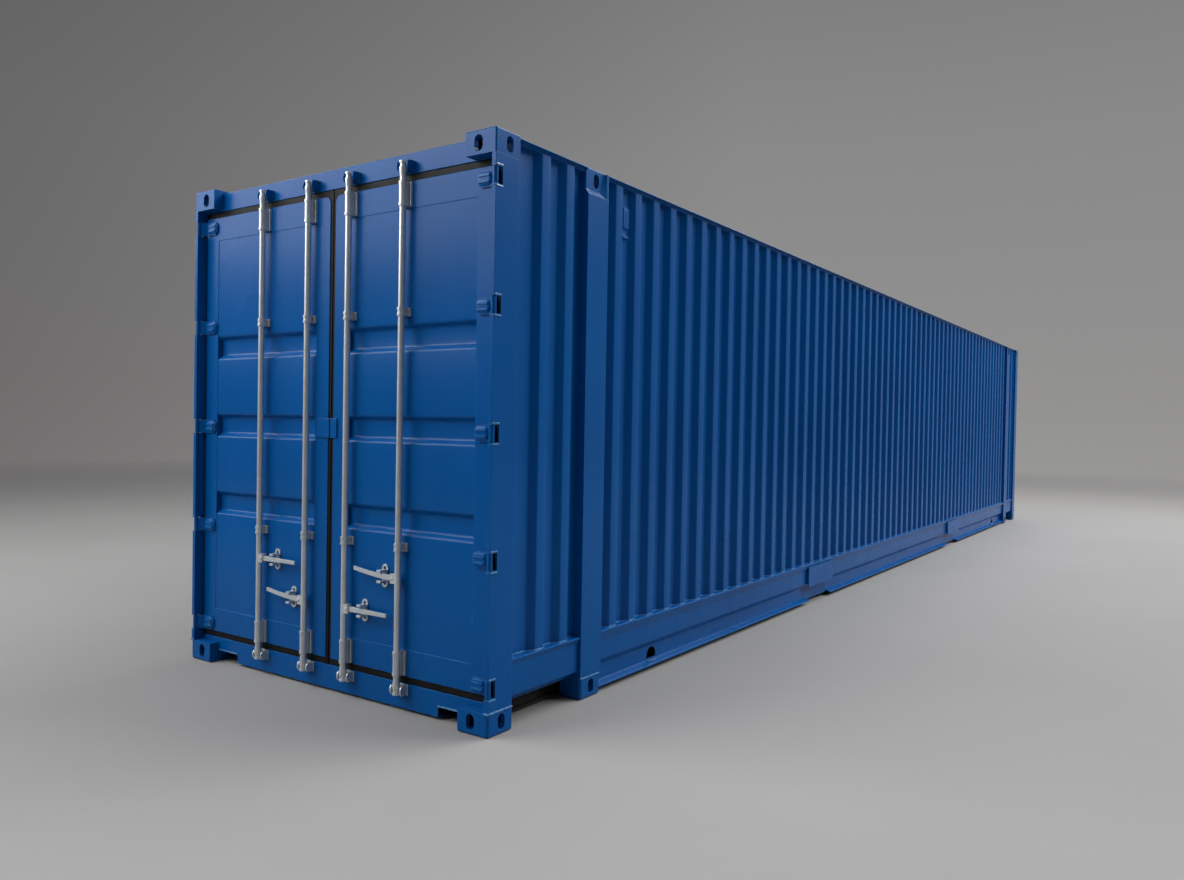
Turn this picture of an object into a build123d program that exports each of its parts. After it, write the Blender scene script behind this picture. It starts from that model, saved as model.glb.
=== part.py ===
from build123d import *
import math
import os

# A 45-foot high-cube steel shipping container, in millimetres.
# +Z is up, the doors face -Y, +X is the right side, and the origin is on the ground under the middle.

# Overall size
LENGTH = 13716.0
WIDTH = 2438.0
HEIGHT = 2896.0

# Castings at the corners, and at the 40-foot places between them
CASTING_LENGTH = 178.0
CASTING_WIDTH = 193.0
INNER_CASTING_WIDTH = 140.0
CASTING_HEIGHT = 118.0
CASTING_WALL = 28.0
CASTING_BACK = 14.0
LOW_CASTING_ROUND = 16.0
TOP_CASTING_ROUND = 8.0
APERTURE_LENGTH = 124.0
APERTURE_WIDTH = 63.5
APERTURE_FROM_END = 101.5
APERTURE_FROM_SIDE = 89.0
SIDE_HOLE_WIDTH = 51.0
END_HOLE_WIDTH = 54.0
END_HOLE_SHARE = 0.58
HOLE_HEIGHT = 79.5
HOLE_CENTRE = 63.0
END_BAY = 762.0
SHOULDER_DROP = 30.0
TOP_RECESS = 20.0
GUSSET_LOW_LENGTH = 66.0
GUSSET_HIGH_LENGTH = 10.0

# Posts and end frames
PLATE = 6.0
POST_FRONT_WIDTH = 26.0
POST_STOP_WIDTH = 30.0
POST_STOP_DEPTH = 55.0
FRONT_POST_WIDTH = 60.0
INNER_POST_WIDTH = 60.0
INNER_POST_LENGTH = 196.0
FRAME_RECESS = 64.0
HEADER_DROP = 16.0
HEADER_HEIGHT = 108.0
SILL_TOP = 146.0
SILL_BOTTOM = 15.0
SILL_DEPTH = 140.0
SILL_NOTCH_LENGTH = 149.0
SILL_NOTCH_TOP = 72.0
FRONT_RECESS = 20.0

# Side rails
RAIL_PLATE = 4.5
RAIL_TOP = 348.0
RAIL_BOTTOM = 29.0
RAIL_FLANGE = 69.0
RAIL_WEB_TOP = 286.0
RAIL_WEB_BOTTOM = 178.0
RAIL_WEB_INSET = 24.0
RAIL_FOOT_TOP = 140.0
RAIL_FOOT_INSET = 56.0
RAIL_LEDGE_TOP = 70.0
RAIL_LEDGE_LOW = 40.0
RAIL_LEDGE_INSET = 9.0
END_RAIL_WEB_TOP = 315.0
END_RAIL_BOTTOM = 155.0
END_RAIL_INSET = 19.0
TOP_RAIL_HEIGHT = 20.0
TOP_RAIL_FLANGE = 6.0
TOP_RAIL_WALL = 4.0
TOP_RAIL_INSET = 3.0
TOP_RAIL_BODY_INSET = 24.0
TOP_RAIL_DROP = 10.0

# Grapple-lift places and drain holes of the bottom rails
GRAPPLE_SPACING = 4876.0
GRAPPLE_LENGTH = 587.0
GRAPPLE_TOP = 322.0
GRAPPLE_BOTTOM = 150.0
GRAPPLE_RECESS_INSET = 35.0
DRAIN_FROM_POST = 647.0
DRAIN_RADIUS = 55.0

# Corrugated sheets
SHEET = 2.0
RIB_FLAT = 70.2
RIB_SLOPE = 35.0
RIB_VALLEY = 69.0
RIB_DEPTH = 36.0
WALL_INSET = 22.0
END_BAY_LIP = 27.0
END_BAY_MARGIN = 64.0
LEAST_MARGIN = 30.0
ROOF_RIB_DEPTH = 20.0
ROOF_DROP = 8.0

# Floor
FLOOR_TOP = 150.0
FLOOR_BOARD = 28.0
FLOOR_EDGE = 69.0
MEMBER_HEIGHT = 102.0
MEMBER_FLANGE = 45.0
MEMBER_PLATE = 4.0
MEMBER_SPACING = 305.0

# Doors
DOOR_RECESS = 58.0
DOOR_DEPTH = 50.0
DOOR_WALL = 4.0
DOOR_ROUND = 40.0
HINGE_GAP = 14.0
GASKET_CLEARANCE = 4.0
GASKET_LIP = 34.0
SEAM_LIP = 18.0
GASKET_RECESS = 5.0
GASKET_DEPTH = 40.0
HINGE_STILE = 119.0
SEAM_STILE = 108.0
DOOR_MEMBER = 140.0
PANEL_SHEET = 3.0
PANEL_RECESS = 3.0
CHANNEL_SPACING = 476.0
CHANNEL_HEIGHT = 136.0
CHANNEL_SLOPE = 22.0
CHANNEL_DEPTH = 30.0
SEAM_PLATE_HEIGHT = 108.0
SEAM_PLATE_RIGHT = 56.0
SEAM_PLATE_LEFT = 110.0
SEAM_PLATE_THICK = 8.0

# Hinges, one set of five a door
HINGE_COUNT = 5
HINGE_FROM_LOW = 46.0
HINGE_FROM_HIGH = 62.0
PIN_INSET = 16.0
PIN_RADIUS = 8.0
PIN_CLEARANCE = 0.4
KNUCKLE_RADIUS = 14.0
KNUCKLE_HEIGHT = 80.0
KNUCKLE_CLEARANCE = 2.0
LUG_THICK = 8.0
BLADE_THICK = 10.0
BLADE_REACH = 115.0
BLADE_CHAMFER = 20.0
BOSS_INSET = 13.0
BOSS_THICK = 6.0
ARM_THICK = 14.0
SLOT_OUTER_DEPTH = 50.0
SLOT_INNER_DEPTH = 66.0

# Lock bars, two a door
BAR_RADIUS = 17.0
BAR_CLEARANCE = 0.4
BAR_INSET = 24.0
BAR_PAST_CAM = 22.0
INNER_BAR_X = 167.0
OUTER_BAR_X = 578.0
CAM_HEIGHT = 44.0
CAM_RADIUS = 21.0
CAM_NECK = 40.0
CAM_JAW = 12.0
CAM_REACH = 26.0
CAM_NOSE_WIDTH = 16.0
CAM_ABOVE_HEADER = 38.0
CAM_BELOW_SILL = 31.0
KEEPER_GAP = 6.0
KEEPER_EAR = 10.0
KEEPER_BASE = 5.0
KEEPER_HEIGHT = 50.0
KEEPER_FRONT = 12.0
KEEPER_ROUND = 4.0
COLLAR_RADIUS = 23.0
COLLAR_HEIGHT = 16.0
SLEEVE_RADIUS = 20.5
BRACKET_PLATE = 5.0
BRACKET_HALF = 36.0
BRACKET_RIM = 6.0
BRACKET_RIM_DEPTH = 14.0
BRACKET_HEIGHT = 126.0
GUIDE_HEIGHT = 44.0
GUIDE_SPREAD = 605.0

# Handles and their retainers
OUTER_HANDLE_SHARE = 0.62
INNER_HANDLE_SHARE = 0.28
HUB_REACH = 46.0
HUB_HEIGHT = 50.0
HUB_DEPTH = 30.0
HUB_ROUND = 5.0
HUB_CLEARANCE = 0.2
HANDLE_LENGTH = 330.0
HANDLE_THICK = 12.0
HANDLE_HEIGHT = 32.0
HANDLE_TIP = 20.0
HANDLE_RISE = 26.0
CATCH_REACH = 130.0
CATCH_LOBE = 23.0
CATCH_HOLE = 11.0
CATCH_LOBE_CENTRE = 38.0
CATCH_PLATE = 6.0
CATCH_EAR_GAP = 6.0
CATCH_EAR = 12.0
CATCH_EAR_WIDTH = 30.0
CATCH_FRONT = 10.0

# Ventilators, one a side, each in the first whole valley of the long wall
VENT_MARGIN = 5.0
VENT_DROP = 87.0
VENT_HEIGHT = 193.0
VENT_DEPTH = 16.0
VENT_NECK = 4.0
VENT_SLOPE = 34.0
VENT_MOUTH = 62.0
VENT_LIP = 24.0

# Places worked out from the sizes above
HALF_L = LENGTH / 2
HALF_W = WIDTH / 2
INNER_HALF = HALF_L - END_BAY
CASTING_INNER_X = HALF_W - CASTING_WIDTH
BEAM_X = HALF_W - INNER_CASTING_WIDTH
BAY_END = HALF_L - CASTING_LENGTH
MAIN_END = INNER_HALF - INNER_POST_LENGTH
TOP_CASTING_Z = HEIGHT - CASTING_HEIGHT
HEADER_TOP = HEIGHT - HEADER_DROP
HEADER_BOTTOM = HEADER_TOP - HEADER_HEIGHT
FRAME_FACE = -HALF_L + FRAME_RECESS
DOOR_FACE = -HALF_L + DOOR_RECESS
DOOR_BACK = DOOR_FACE + DOOR_DEPTH
PANEL_FACE = DOOR_FACE + PANEL_RECESS
JAMB_X = HALF_W - POST_FRONT_WIDTH
STOP_Y = -BAY_END - POST_STOP_DEPTH
DOOR_EDGE = JAMB_X - HINGE_GAP
SEAM_EDGE = GASKET_CLEARANCE + SEAM_LIP
DOOR_LOW = SILL_TOP + GASKET_CLEARANCE + GASKET_LIP
DOOR_HIGH = HEADER_BOTTOM - GASKET_CLEARANCE - GASKET_LIP
DOOR_MIDDLE = (DOOR_LOW + DOOR_HIGH) / 2
PANEL_LOW = DOOR_LOW + DOOR_MEMBER
PANEL_HIGH = DOOR_HIGH - DOOR_MEMBER
CHANNEL_CENTRES = [DOOR_MIDDLE + i * CHANNEL_SPACING for i in (-1, 0, 1)]
HINGE_SPACING = (DOOR_HIGH - DOOR_LOW - HINGE_FROM_LOW - HINGE_FROM_HIGH) / (HINGE_COUNT - 1)
HINGE_HEIGHTS = [DOOR_LOW + HINGE_FROM_LOW + i * HINGE_SPACING for i in range(HINGE_COUNT)]
PIN_X = HALF_W - PIN_INSET
PIN_Y = -HALF_L + PIN_INSET
BAR_Y = -HALF_L + BAR_INSET
BOTTOM_CAM_CENTRE = SILL_TOP - CAM_BELOW_SILL
TOP_CAM_CENTRE = HEADER_BOTTOM + CAM_ABOVE_HEADER
HANDLE_ZONE = CHANNEL_CENTRES[0] - CHANNEL_HEIGHT / 2 - PANEL_LOW
OUTER_HANDLE_Z = PANEL_LOW + OUTER_HANDLE_SHARE * HANDLE_ZONE
INNER_HANDLE_Z = PANEL_LOW + INNER_HANDLE_SHARE * HANDLE_ZONE
WALL_OUTER = HALF_W - WALL_INSET
WALL_INNER = WALL_OUTER - RIB_DEPTH
RIB_PITCH = RIB_FLAT + 2 * RIB_SLOPE + RIB_VALLEY
TOP_RAIL_TOP = HEIGHT - TOP_RAIL_DROP
TOP_RAIL_BOTTOM = TOP_RAIL_TOP - TOP_RAIL_HEIGHT
TOP_RAIL_BODY = HALF_W - TOP_RAIL_BODY_INSET
TOP_RAIL_INNER = HALF_W - TOP_RECESS - INNER_CASTING_WIDTH
FOOT_X = HALF_W - RAIL_FOOT_INSET
MEMBER_TOP = FLOOR_TOP - FLOOR_BOARD
ROOF_TOP = HEIGHT - ROOF_DROP
VENT_TOP = TOP_RAIL_BOTTOM - VENT_DROP
VENT_BOTTOM = VENT_TOP - VENT_HEIGHT

SIDES = Plane.YZ
ENDS = Plane.XZ


def box(x0, x1, y0, y1, z0, z1):
    """A plain block between two corners."""
    centre = Pos((x0 + x1) / 2, (y0 + y1) / 2, (z0 + z1) / 2)
    return centre * Box(abs(x1 - x0), abs(y1 - y0), abs(z1 - z0))


def outline_face(points):
    """The flat face inside an outline."""
    return make_face(Polyline(points, close=True))


def along_x(points, x0, x1):
    """An outline of (y, z) points carried from x0 to x1."""
    return extrude(Plane.YZ.offset(x0) * outline_face(points), amount=x1 - x0)


def plate_y(face, y0, y1):
    """A flat face of (x, z) points carried from y0 to y1."""
    return extrude(Plane.XZ.offset(-y0) * face, amount=y0 - y1)


def along_y(points, y0, y1):
    """An outline of (x, z) points carried from y0 to y1."""
    return plate_y(outline_face(points), y0, y1)


def along_z(points, z0, z1):
    """An outline of (x, y) points carried from z0 to z1."""
    return extrude(Plane.XY.offset(z0) * outline_face(points), amount=z1 - z0)


def upright(x, y, z0, z1, radius):
    """A round bar standing at (x, y)."""
    return Pos(x, y, (z0 + z1) / 2) * Cylinder(radius, z1 - z0)


def strip(path, thickness):
    """The outline of a bent plate: a path, and the same path moved to its left by the thickness."""
    points = [Vector(*point) for point in path]
    moved = []
    for i, point in enumerate(points):
        ahead = (points[min(i + 1, len(points) - 1)] - points[min(i, len(points) - 2)]).normalized()
        behind = (points[max(i, 1)] - points[max(i - 1, 0)]).normalized()
        left = Vector(-ahead.Y, ahead.X) + Vector(-behind.Y, behind.X)
        step = left * (thickness / (1 + ahead.dot(behind)))
        moved.append(((point + step).X, (point + step).Y))
    return [(p.X, p.Y) for p in points] + moved[::-1]


def both_sides(piece):
    """A piece on the right side and its mirror image on the left."""
    return [piece, mirror(piece, about=SIDES)]


def all_corners(piece):
    """A piece at the right rear and its three mirror images."""
    return [p for side in both_sides(piece) for p in (side, mirror(side, about=ENDS))]


def save(name, *pieces):
    """Write one node from the solids of its pieces."""
    solids = [solid for piece in pieces for solid in piece.solids()]
    export_step(Compound(children=solids) if len(solids) > 1 else solids[0], f"parts/{name}.step")


def casting(outer_x, outer_y, width, rounding):
    """A hollow bottom casting whose outer corner is at the right rear, with its base and side apertures."""
    body = box(outer_x - width, outer_x, outer_y, outer_y + CASTING_LENGTH, 0, CASTING_HEIGHT)
    outer_corner = body.vertices().sort_by_distance((outer_x, outer_y, 0))[0]
    body = fillet([edge for edge in body.edges() if outer_corner in edge.vertices()], rounding)
    body -= box(
        outer_x - width + CASTING_BACK, outer_x - CASTING_WALL,
        outer_y + CASTING_WALL, outer_y + CASTING_LENGTH - CASTING_BACK,
        CASTING_WALL, CASTING_HEIGHT - CASTING_BACK,
    )
    slot_y = outer_y + APERTURE_FROM_END
    slot = SlotOverall(APERTURE_LENGTH, APERTURE_WIDTH, rotation=90)
    body -= Pos(outer_x - APERTURE_FROM_SIDE, slot_y, 0) * extrude(slot, amount=CASTING_WALL)
    side_hole = Plane.YZ * SlotOverall(HOLE_HEIGHT, SIDE_HOLE_WIDTH, rotation=90)
    return body - Pos(outer_x, slot_y, HOLE_CENTRE) * extrude(side_hole, amount=-CASTING_WALL)


def end_hole(outer_x, outer_y, width):
    """The aperture in the end face of a bottom casting."""
    hole = Plane.XZ * SlotOverall(HOLE_HEIGHT, END_HOLE_WIDTH, rotation=90)
    return Pos(outer_x - END_HOLE_SHARE * width, outer_y, HOLE_CENTRE) * extrude(hole, amount=-CASTING_WALL)


def upside_down(piece):
    """A bottom piece turned over to the top of the container."""
    return mirror(piece, about=Plane.XY.offset(HEIGHT / 2))


def make_castings():
    corners = []
    for rounding in (LOW_CASTING_ROUND, TOP_CASTING_ROUND):
        corner = casting(HALF_W, -HALF_L, CASTING_WIDTH, rounding)
        corners.append(corner - end_hole(HALF_W, -HALF_L, CASTING_WIDTH))
    save("corner_castings", *all_corners(corners[0]), *all_corners(upside_down(corners[1])))
    low = casting(HALF_W, -INNER_HALF, INNER_CASTING_WIDTH, LOW_CASTING_ROUND)
    high_x = HALF_W - TOP_RECESS
    high = casting(high_x, -INNER_HALF, INNER_CASTING_WIDTH, TOP_CASTING_ROUND)
    high -= end_hole(high_x, -INNER_HALF, INNER_CASTING_WIDTH)
    save("intermediate_castings", *all_corners(low), *all_corners(upside_down(high)))


def hollow_post(outline, wall, z0, z1):
    """An upright tube with the outline of (x, y) points."""
    face = outline_face(outline)
    inside = offset(face, amount=-wall, kind=Kind.INTERSECTION)
    return extrude(Plane.XY.offset(z0) * (face - inside), amount=z1 - z0)


def hinge_outline():
    """The corner of a rear post that a hinge takes up."""
    return [
        (JAMB_X, -HALF_L),
        (HALF_W, -HALF_L),
        (HALF_W, -HALF_L + SLOT_OUTER_DEPTH),
        (JAMB_X, -HALF_L + SLOT_INNER_DEPTH),
    ]


def hinge_half_height():
    return KNUCKLE_HEIGHT / 2 + KNUCKLE_CLEARANCE + LUG_THICK


def rear_post():
    """The right rear post, with its door stop and its five hinge slots."""
    outline = [
        (HALF_W, -HALF_L),
        (HALF_W, -BAY_END),
        (JAMB_X - POST_STOP_WIDTH, -BAY_END),
        (JAMB_X - POST_STOP_WIDTH, STOP_Y),
        (JAMB_X, STOP_Y),
        (JAMB_X, -HALF_L),
    ]
    post = hollow_post(outline, PLATE, CASTING_HEIGHT, TOP_CASTING_Z)
    for height in HINGE_HEIGHTS:
        post -= along_z(hinge_outline(), height - hinge_half_height(), height + hinge_half_height())
    return post


def hinge_lugs():
    """The right post's lugs, each pair on its own pin."""
    inner = KNUCKLE_HEIGHT / 2 + KNUCKLE_CLEARANCE
    pairs = []
    for height in HINGE_HEIGHTS:
        low = along_z(hinge_outline(), height - hinge_half_height(), height - inner)
        high = along_z(hinge_outline(), height + inner, height + hinge_half_height())
        pin = upright(PIN_X, PIN_Y, height - inner, height + inner, PIN_RADIUS)
        pairs.append(low + high + pin)
    return Compound(children=pairs)


def intermediate_post():
    """The right rear intermediate post with a sloped shoulder, and its cheek and gusset."""
    inner_x = HALF_W - INNER_POST_WIDTH
    outline = [
        (inner_x, CASTING_HEIGHT),
        (HALF_W, CASTING_HEIGHT),
        (HALF_W, TOP_CASTING_Z - SHOULDER_DROP),
        (HALF_W - TOP_RECESS, TOP_CASTING_Z),
        (inner_x, TOP_CASTING_Z),
    ]
    block = along_y(outline, -INNER_HALF, -MAIN_END)
    hollow = [
        (inner_x + PLATE, CASTING_HEIGHT),
        (HALF_W - PLATE, CASTING_HEIGHT),
        (HALF_W - PLATE, TOP_CASTING_Z - SHOULDER_DROP),
        (HALF_W - TOP_RECESS - PLATE, TOP_CASTING_Z - PLATE),
        (inner_x + PLATE, TOP_CASTING_Z - PLATE),
    ]
    post = block - along_y(hollow, -INNER_HALF + PLATE, -MAIN_END - PLATE)
    cheek_y = -INNER_HALF + CASTING_LENGTH
    cheek_low = TOP_CASTING_Z - SHOULDER_DROP
    recess_x = HALF_W - TOP_RECESS
    cheek_outline = [
        (TOP_RAIL_INNER, TOP_CASTING_Z),
        (recess_x, TOP_CASTING_Z),
        (HALF_W, cheek_low),
        (HALF_W, TOP_RAIL_TOP),
        (TOP_RAIL_INNER, TOP_RAIL_TOP),
    ]
    cheek = along_y(cheek_outline, cheek_y, -MAIN_END)
    sections = []
    for z, length in ((cheek_low, GUSSET_LOW_LENGTH), (TOP_RAIL_TOP, GUSSET_HIGH_LENGTH)):
        face = outline_face([(recess_x, cheek_y - length), (HALF_W, cheek_y), (recess_x, cheek_y)])
        sections.append(Plane.XY.offset(z) * face)
    return post, cheek, loft(sections, ruled=True) - block


def make_posts():
    post = rear_post()
    save("rear_post_right", post)
    save("rear_post_left", mirror(post, about=SIDES))
    lugs = hinge_lugs()
    save("hinge_lugs", *both_sides(lugs))
    front = [
        (HALF_W - FRONT_POST_WIDTH, BAY_END),
        (HALF_W, BAY_END),
        (HALF_W, HALF_L),
        (HALF_W - FRONT_POST_WIDTH, HALF_L),
    ]
    save("front_posts", *both_sides(hollow_post(front, PLATE, CASTING_HEIGHT, TOP_CASTING_Z)))
    save("intermediate_posts", *[copy for piece in intermediate_post() for copy in all_corners(piece)])


def casting_blocks(y0, y1):
    """The room that the castings of one end take, as plain blocks."""
    low = box(CASTING_INNER_X, HALF_W, y0, y1, 0, CASTING_HEIGHT)
    return both_sides(low) + both_sides(upside_down(low))


def cut_away(piece, cuts):
    """A piece less every cut."""
    for cut in cuts:
        piece -= cut
    return piece


def end_beam(section, half_length, y0, y1):
    """A cross beam of an end frame with a (y, z) section, cut round the castings that it meets."""
    beam = extrude(Plane.YZ.offset(-half_length) * section, amount=2 * half_length)
    return cut_away(beam, casting_blocks(y0, y1))


def top_tube(y0, y1):
    """The hollow section of a top cross beam."""
    face = outline_face([(y0, HEADER_BOTTOM), (y1, HEADER_BOTTOM), (y1, HEADER_TOP), (y0, HEADER_TOP)])
    return face - offset(face, amount=-PLATE, kind=Kind.INTERSECTION)


def make_end_frames():
    stops = both_sides(box(JAMB_X - POST_STOP_WIDTH, HALF_W, STOP_Y, -BAY_END, 0, HEIGHT))
    header = end_beam(top_tube(FRAME_FACE, -BAY_END), JAMB_X, -HALF_L, -BAY_END)
    save("door_header", cut_away(header, stops))
    front_face = HALF_L - FRONT_RECESS
    front_x = HALF_W - FRONT_POST_WIDTH
    save("front_top_rail", end_beam(top_tube(BAY_END, front_face), front_x, BAY_END, HALF_L))

    sill = strip(
        [
            (FRAME_FACE + SILL_DEPTH, MEMBER_TOP),
            (FRAME_FACE + SILL_DEPTH, SILL_TOP),
            (FRAME_FACE, SILL_TOP),
            (FRAME_FACE, SILL_BOTTOM),
            (FRAME_FACE + MEMBER_FLANGE, SILL_BOTTOM),
        ],
        PLATE,
    )
    notch = box(
        CASTING_INNER_X - SILL_NOTCH_LENGTH, CASTING_INNER_X,
        -HALF_L, FRAME_FACE + SILL_DEPTH, 0, SILL_NOTCH_TOP,
    )
    rear_low = end_beam(outline_face(sill), JAMB_X, -HALF_L, -BAY_END)
    save("door_sill", cut_away(rear_low, both_sides(notch) + stops))
    front_sill = strip(
        [
            (front_face - MEMBER_FLANGE, SILL_BOTTOM),
            (front_face, SILL_BOTTOM),
            (front_face, SILL_TOP),
            (front_face - SILL_DEPTH, SILL_TOP),
            (front_face - SILL_DEPTH, MEMBER_TOP),
        ],
        PLATE,
    )
    save("front_bottom_rail", end_beam(outline_face(front_sill), front_x, BAY_END, HALF_L))


def bottom_rail():
    """The pressed right bottom rail of the long bay, with its grapple recesses and drain holes."""
    path = [
        (HALF_W - RAIL_LEDGE_INSET, RAIL_BOTTOM),
        (HALF_W - RAIL_LEDGE_INSET, RAIL_LEDGE_LOW),
        (FOOT_X, RAIL_LEDGE_TOP),
        (FOOT_X, RAIL_FOOT_TOP),
        (HALF_W - RAIL_WEB_INSET, RAIL_WEB_BOTTOM),
        (HALF_W - RAIL_WEB_INSET, RAIL_WEB_TOP),
        (HALF_W, RAIL_TOP),
        (HALF_W - RAIL_FLANGE, RAIL_TOP),
    ]
    rail = along_y(strip(path, RAIL_PLATE), -MAIN_END, MAIN_END)
    reach = GRAPPLE_LENGTH / 2 - GRAPPLE_RECESS_INSET
    lower_half = Pos(0, -DRAIN_RADIUS) * Rectangle(4 * DRAIN_RADIUS, 2 * DRAIN_RADIUS)
    hole = extrude(Plane.YZ * (Circle(DRAIN_RADIUS) - lower_half), amount=2 * RAIL_PLATE)
    for side in (-1, 1):
        middle = side * GRAPPLE_SPACING / 2
        rail -= box(FOOT_X, HALF_W, middle - reach, middle + reach, 0, RAIL_LEDGE_TOP)
        drain_y = side * (MAIN_END - DRAIN_FROM_POST)
        rail -= Pos(FOOT_X - RAIL_PLATE, drain_y, RAIL_LEDGE_TOP + RAIL_PLATE) * hole
    return rail


def grapple_plate():
    """The plate that stands in front of the right rail at its rear grapple place."""
    middle = -GRAPPLE_SPACING / 2
    y0 = middle - GRAPPLE_LENGTH / 2
    y1 = middle + GRAPPLE_LENGTH / 2
    web_x = HALF_W - RAIL_WEB_INSET
    plate = box(HALF_W - PLATE, HALF_W, y0, y1, GRAPPLE_BOTTOM, GRAPPLE_TOP)
    for edge in (y0, y1 - PLATE):
        plate += box(web_x, HALF_W, edge, edge + PLATE, RAIL_WEB_BOTTOM, RAIL_WEB_TOP)
    plate += box(web_x, HALF_W, y0, y1, RAIL_WEB_BOTTOM, RAIL_WEB_BOTTOM + PLATE)
    return plate


def end_bay_rail():
    """The plain rail of the right rear bay, with a lip down beside the floor."""
    lip_x = HALF_W - RAIL_FLANGE + RAIL_PLATE
    path = [
        (lip_x, MEMBER_TOP),
        (lip_x, END_RAIL_BOTTOM),
        (HALF_W - END_RAIL_INSET, END_RAIL_BOTTOM),
        (HALF_W - END_RAIL_INSET, END_RAIL_WEB_TOP),
        (HALF_W, RAIL_TOP),
        (HALF_W - RAIL_FLANGE, RAIL_TOP),
    ]
    rail = along_y(strip(path, RAIL_PLATE), -BAY_END, -INNER_HALF)
    return rail - box(0, lip_x, -BAY_END, FRAME_FACE + SILL_DEPTH, MEMBER_TOP, SILL_TOP)


def top_rail():
    """The right top rail, a tube under a wider flange, in three lengths between the castings."""
    flange_z = TOP_RAIL_TOP - TOP_RAIL_FLANGE
    bore_low = TOP_RAIL_BOTTOM + TOP_RAIL_WALL
    lengths = []
    for y0, y1 in ((-BAY_END, -INNER_HALF), (-MAIN_END, MAIN_END), (INNER_HALF, BAY_END)):
        rail = box(TOP_RAIL_INNER, TOP_RAIL_BODY, y0, y1, TOP_RAIL_BOTTOM, flange_z)
        rail += box(TOP_RAIL_INNER, HALF_W - TOP_RAIL_INSET, y0, y1, flange_z, TOP_RAIL_TOP)
        rail -= box(TOP_RAIL_INNER + TOP_RAIL_WALL, TOP_RAIL_BODY - TOP_RAIL_WALL, y0, y1, bore_low, flange_z)
        lengths.append(rail)
    return Compound(children=lengths)


def make_rails():
    bottom = bottom_rail()
    save("bottom_rail_right", bottom)
    save("bottom_rail_left", mirror(bottom, about=SIDES))
    save("end_bay_rails", *all_corners(end_bay_rail()))
    beam = strip(
        [
            (BEAM_X, MEMBER_TOP),
            (BEAM_X - MEMBER_FLANGE, MEMBER_TOP),
            (BEAM_X - MEMBER_FLANGE, MEMBER_TOP - MEMBER_HEIGHT),
            (BEAM_X, MEMBER_TOP - MEMBER_HEIGHT),
        ],
        MEMBER_PLATE,
    )
    save("end_bay_beams", *all_corners(along_y(beam, -BAY_END, -MAIN_END)))
    save("grapple_plates", *all_corners(grapple_plate()))
    top = top_rail()
    save("top_rail_right", top)
    save("top_rail_left", mirror(top, about=SIDES))


def ribs(first, count, low, high):
    """The corners of a run of ribs: place along the sheet, and level."""
    corners = []
    for i in range(count):
        rise = first + i * RIB_PITCH
        crest = rise + RIB_SLOPE
        fall = crest + RIB_FLAT
        corners += [(rise, low), (crest, high), (fall, high), (fall + RIB_SLOPE, low)]
    return corners


def rib_start(start, end):
    """Where the first rib of a sheet rises, and how many ribs fit, centred, with a valley at each end."""
    count = int((end - start - 2 * LEAST_MARGIN + RIB_VALLEY) // RIB_PITCH)
    return (start + end - count * RIB_PITCH + RIB_VALLEY) / 2, count


def rib_run(start, end, low, high):
    """A whole sheet's line of corners."""
    first, count = rib_start(start, end)
    return [(start, low)] + ribs(first, count, low, high) + [(end, low)]


def end_bay_wall():
    """The right rear bay's sheet: a flat lip at the corner post, then ribs towards the intermediate post."""
    lip_end = -BAY_END + END_BAY_LIP
    last = -INNER_HALF - END_BAY_MARGIN
    count = int((last - lip_end - RIB_SLOPE) // RIB_PITCH)
    line = [(-BAY_END, WALL_OUTER), (lip_end, WALL_OUTER), (lip_end + RIB_SLOPE, WALL_INNER)]
    line += ribs(last - count * RIB_PITCH + RIB_VALLEY, count, WALL_INNER, WALL_OUTER)
    return line + [(-INNER_HALF, WALL_INNER)]


def side_sheet(line):
    """A right wall sheet from its line of (y, x) corners."""
    outer = [(x, y) for y, x in line]
    inner = [(x - SHEET, y) for y, x in line]
    return along_z(outer + inner[::-1], RAIL_TOP, TOP_RAIL_BOTTOM)


def make_walls():
    side = side_sheet(rib_run(-MAIN_END, MAIN_END, WALL_INNER, WALL_OUTER))
    save("side_wall_right", side)
    save("side_wall_left", mirror(side, about=SIDES))
    save("end_bay_walls", *all_corners(side_sheet(end_bay_wall())))

    edge = HALF_W - FRONT_POST_WIDTH
    outer = HALF_L - FRONT_RECESS
    line = rib_run(-edge, edge, outer - RIB_DEPTH, outer)
    front = line + [(x, y - SHEET) for x, y in line[::-1]]
    save("front_wall", along_z(front, SILL_TOP, HEADER_BOTTOM))

    line = rib_run(-BAY_END, BAY_END, ROOF_TOP - ROOF_RIB_DEPTH, ROOF_TOP)
    roof = along_x(line + [(y, z - SHEET) for y, z in line[::-1]], -TOP_RAIL_INNER, TOP_RAIL_INNER)
    save("roof_sheet", roof)

    valley_end = rib_start(-MAIN_END, MAIN_END)[0] + RIB_PITCH - VENT_MARGIN
    valley_start = valley_end - RIB_VALLEY + 2 * VENT_MARGIN
    front = WALL_INNER + VENT_DEPTH
    neck = WALL_INNER + VENT_NECK
    vent = [
        (WALL_INNER, VENT_BOTTOM),
        (front, VENT_BOTTOM),
        (neck, VENT_BOTTOM + VENT_LIP),
        (neck, VENT_BOTTOM + VENT_MOUTH),
        (front, VENT_BOTTOM + VENT_MOUTH),
        (front, VENT_TOP - VENT_SLOPE),
        (WALL_INNER, VENT_TOP),
    ]
    save("ventilators", *both_sides(along_y(vent, valley_start, valley_end)))


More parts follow.
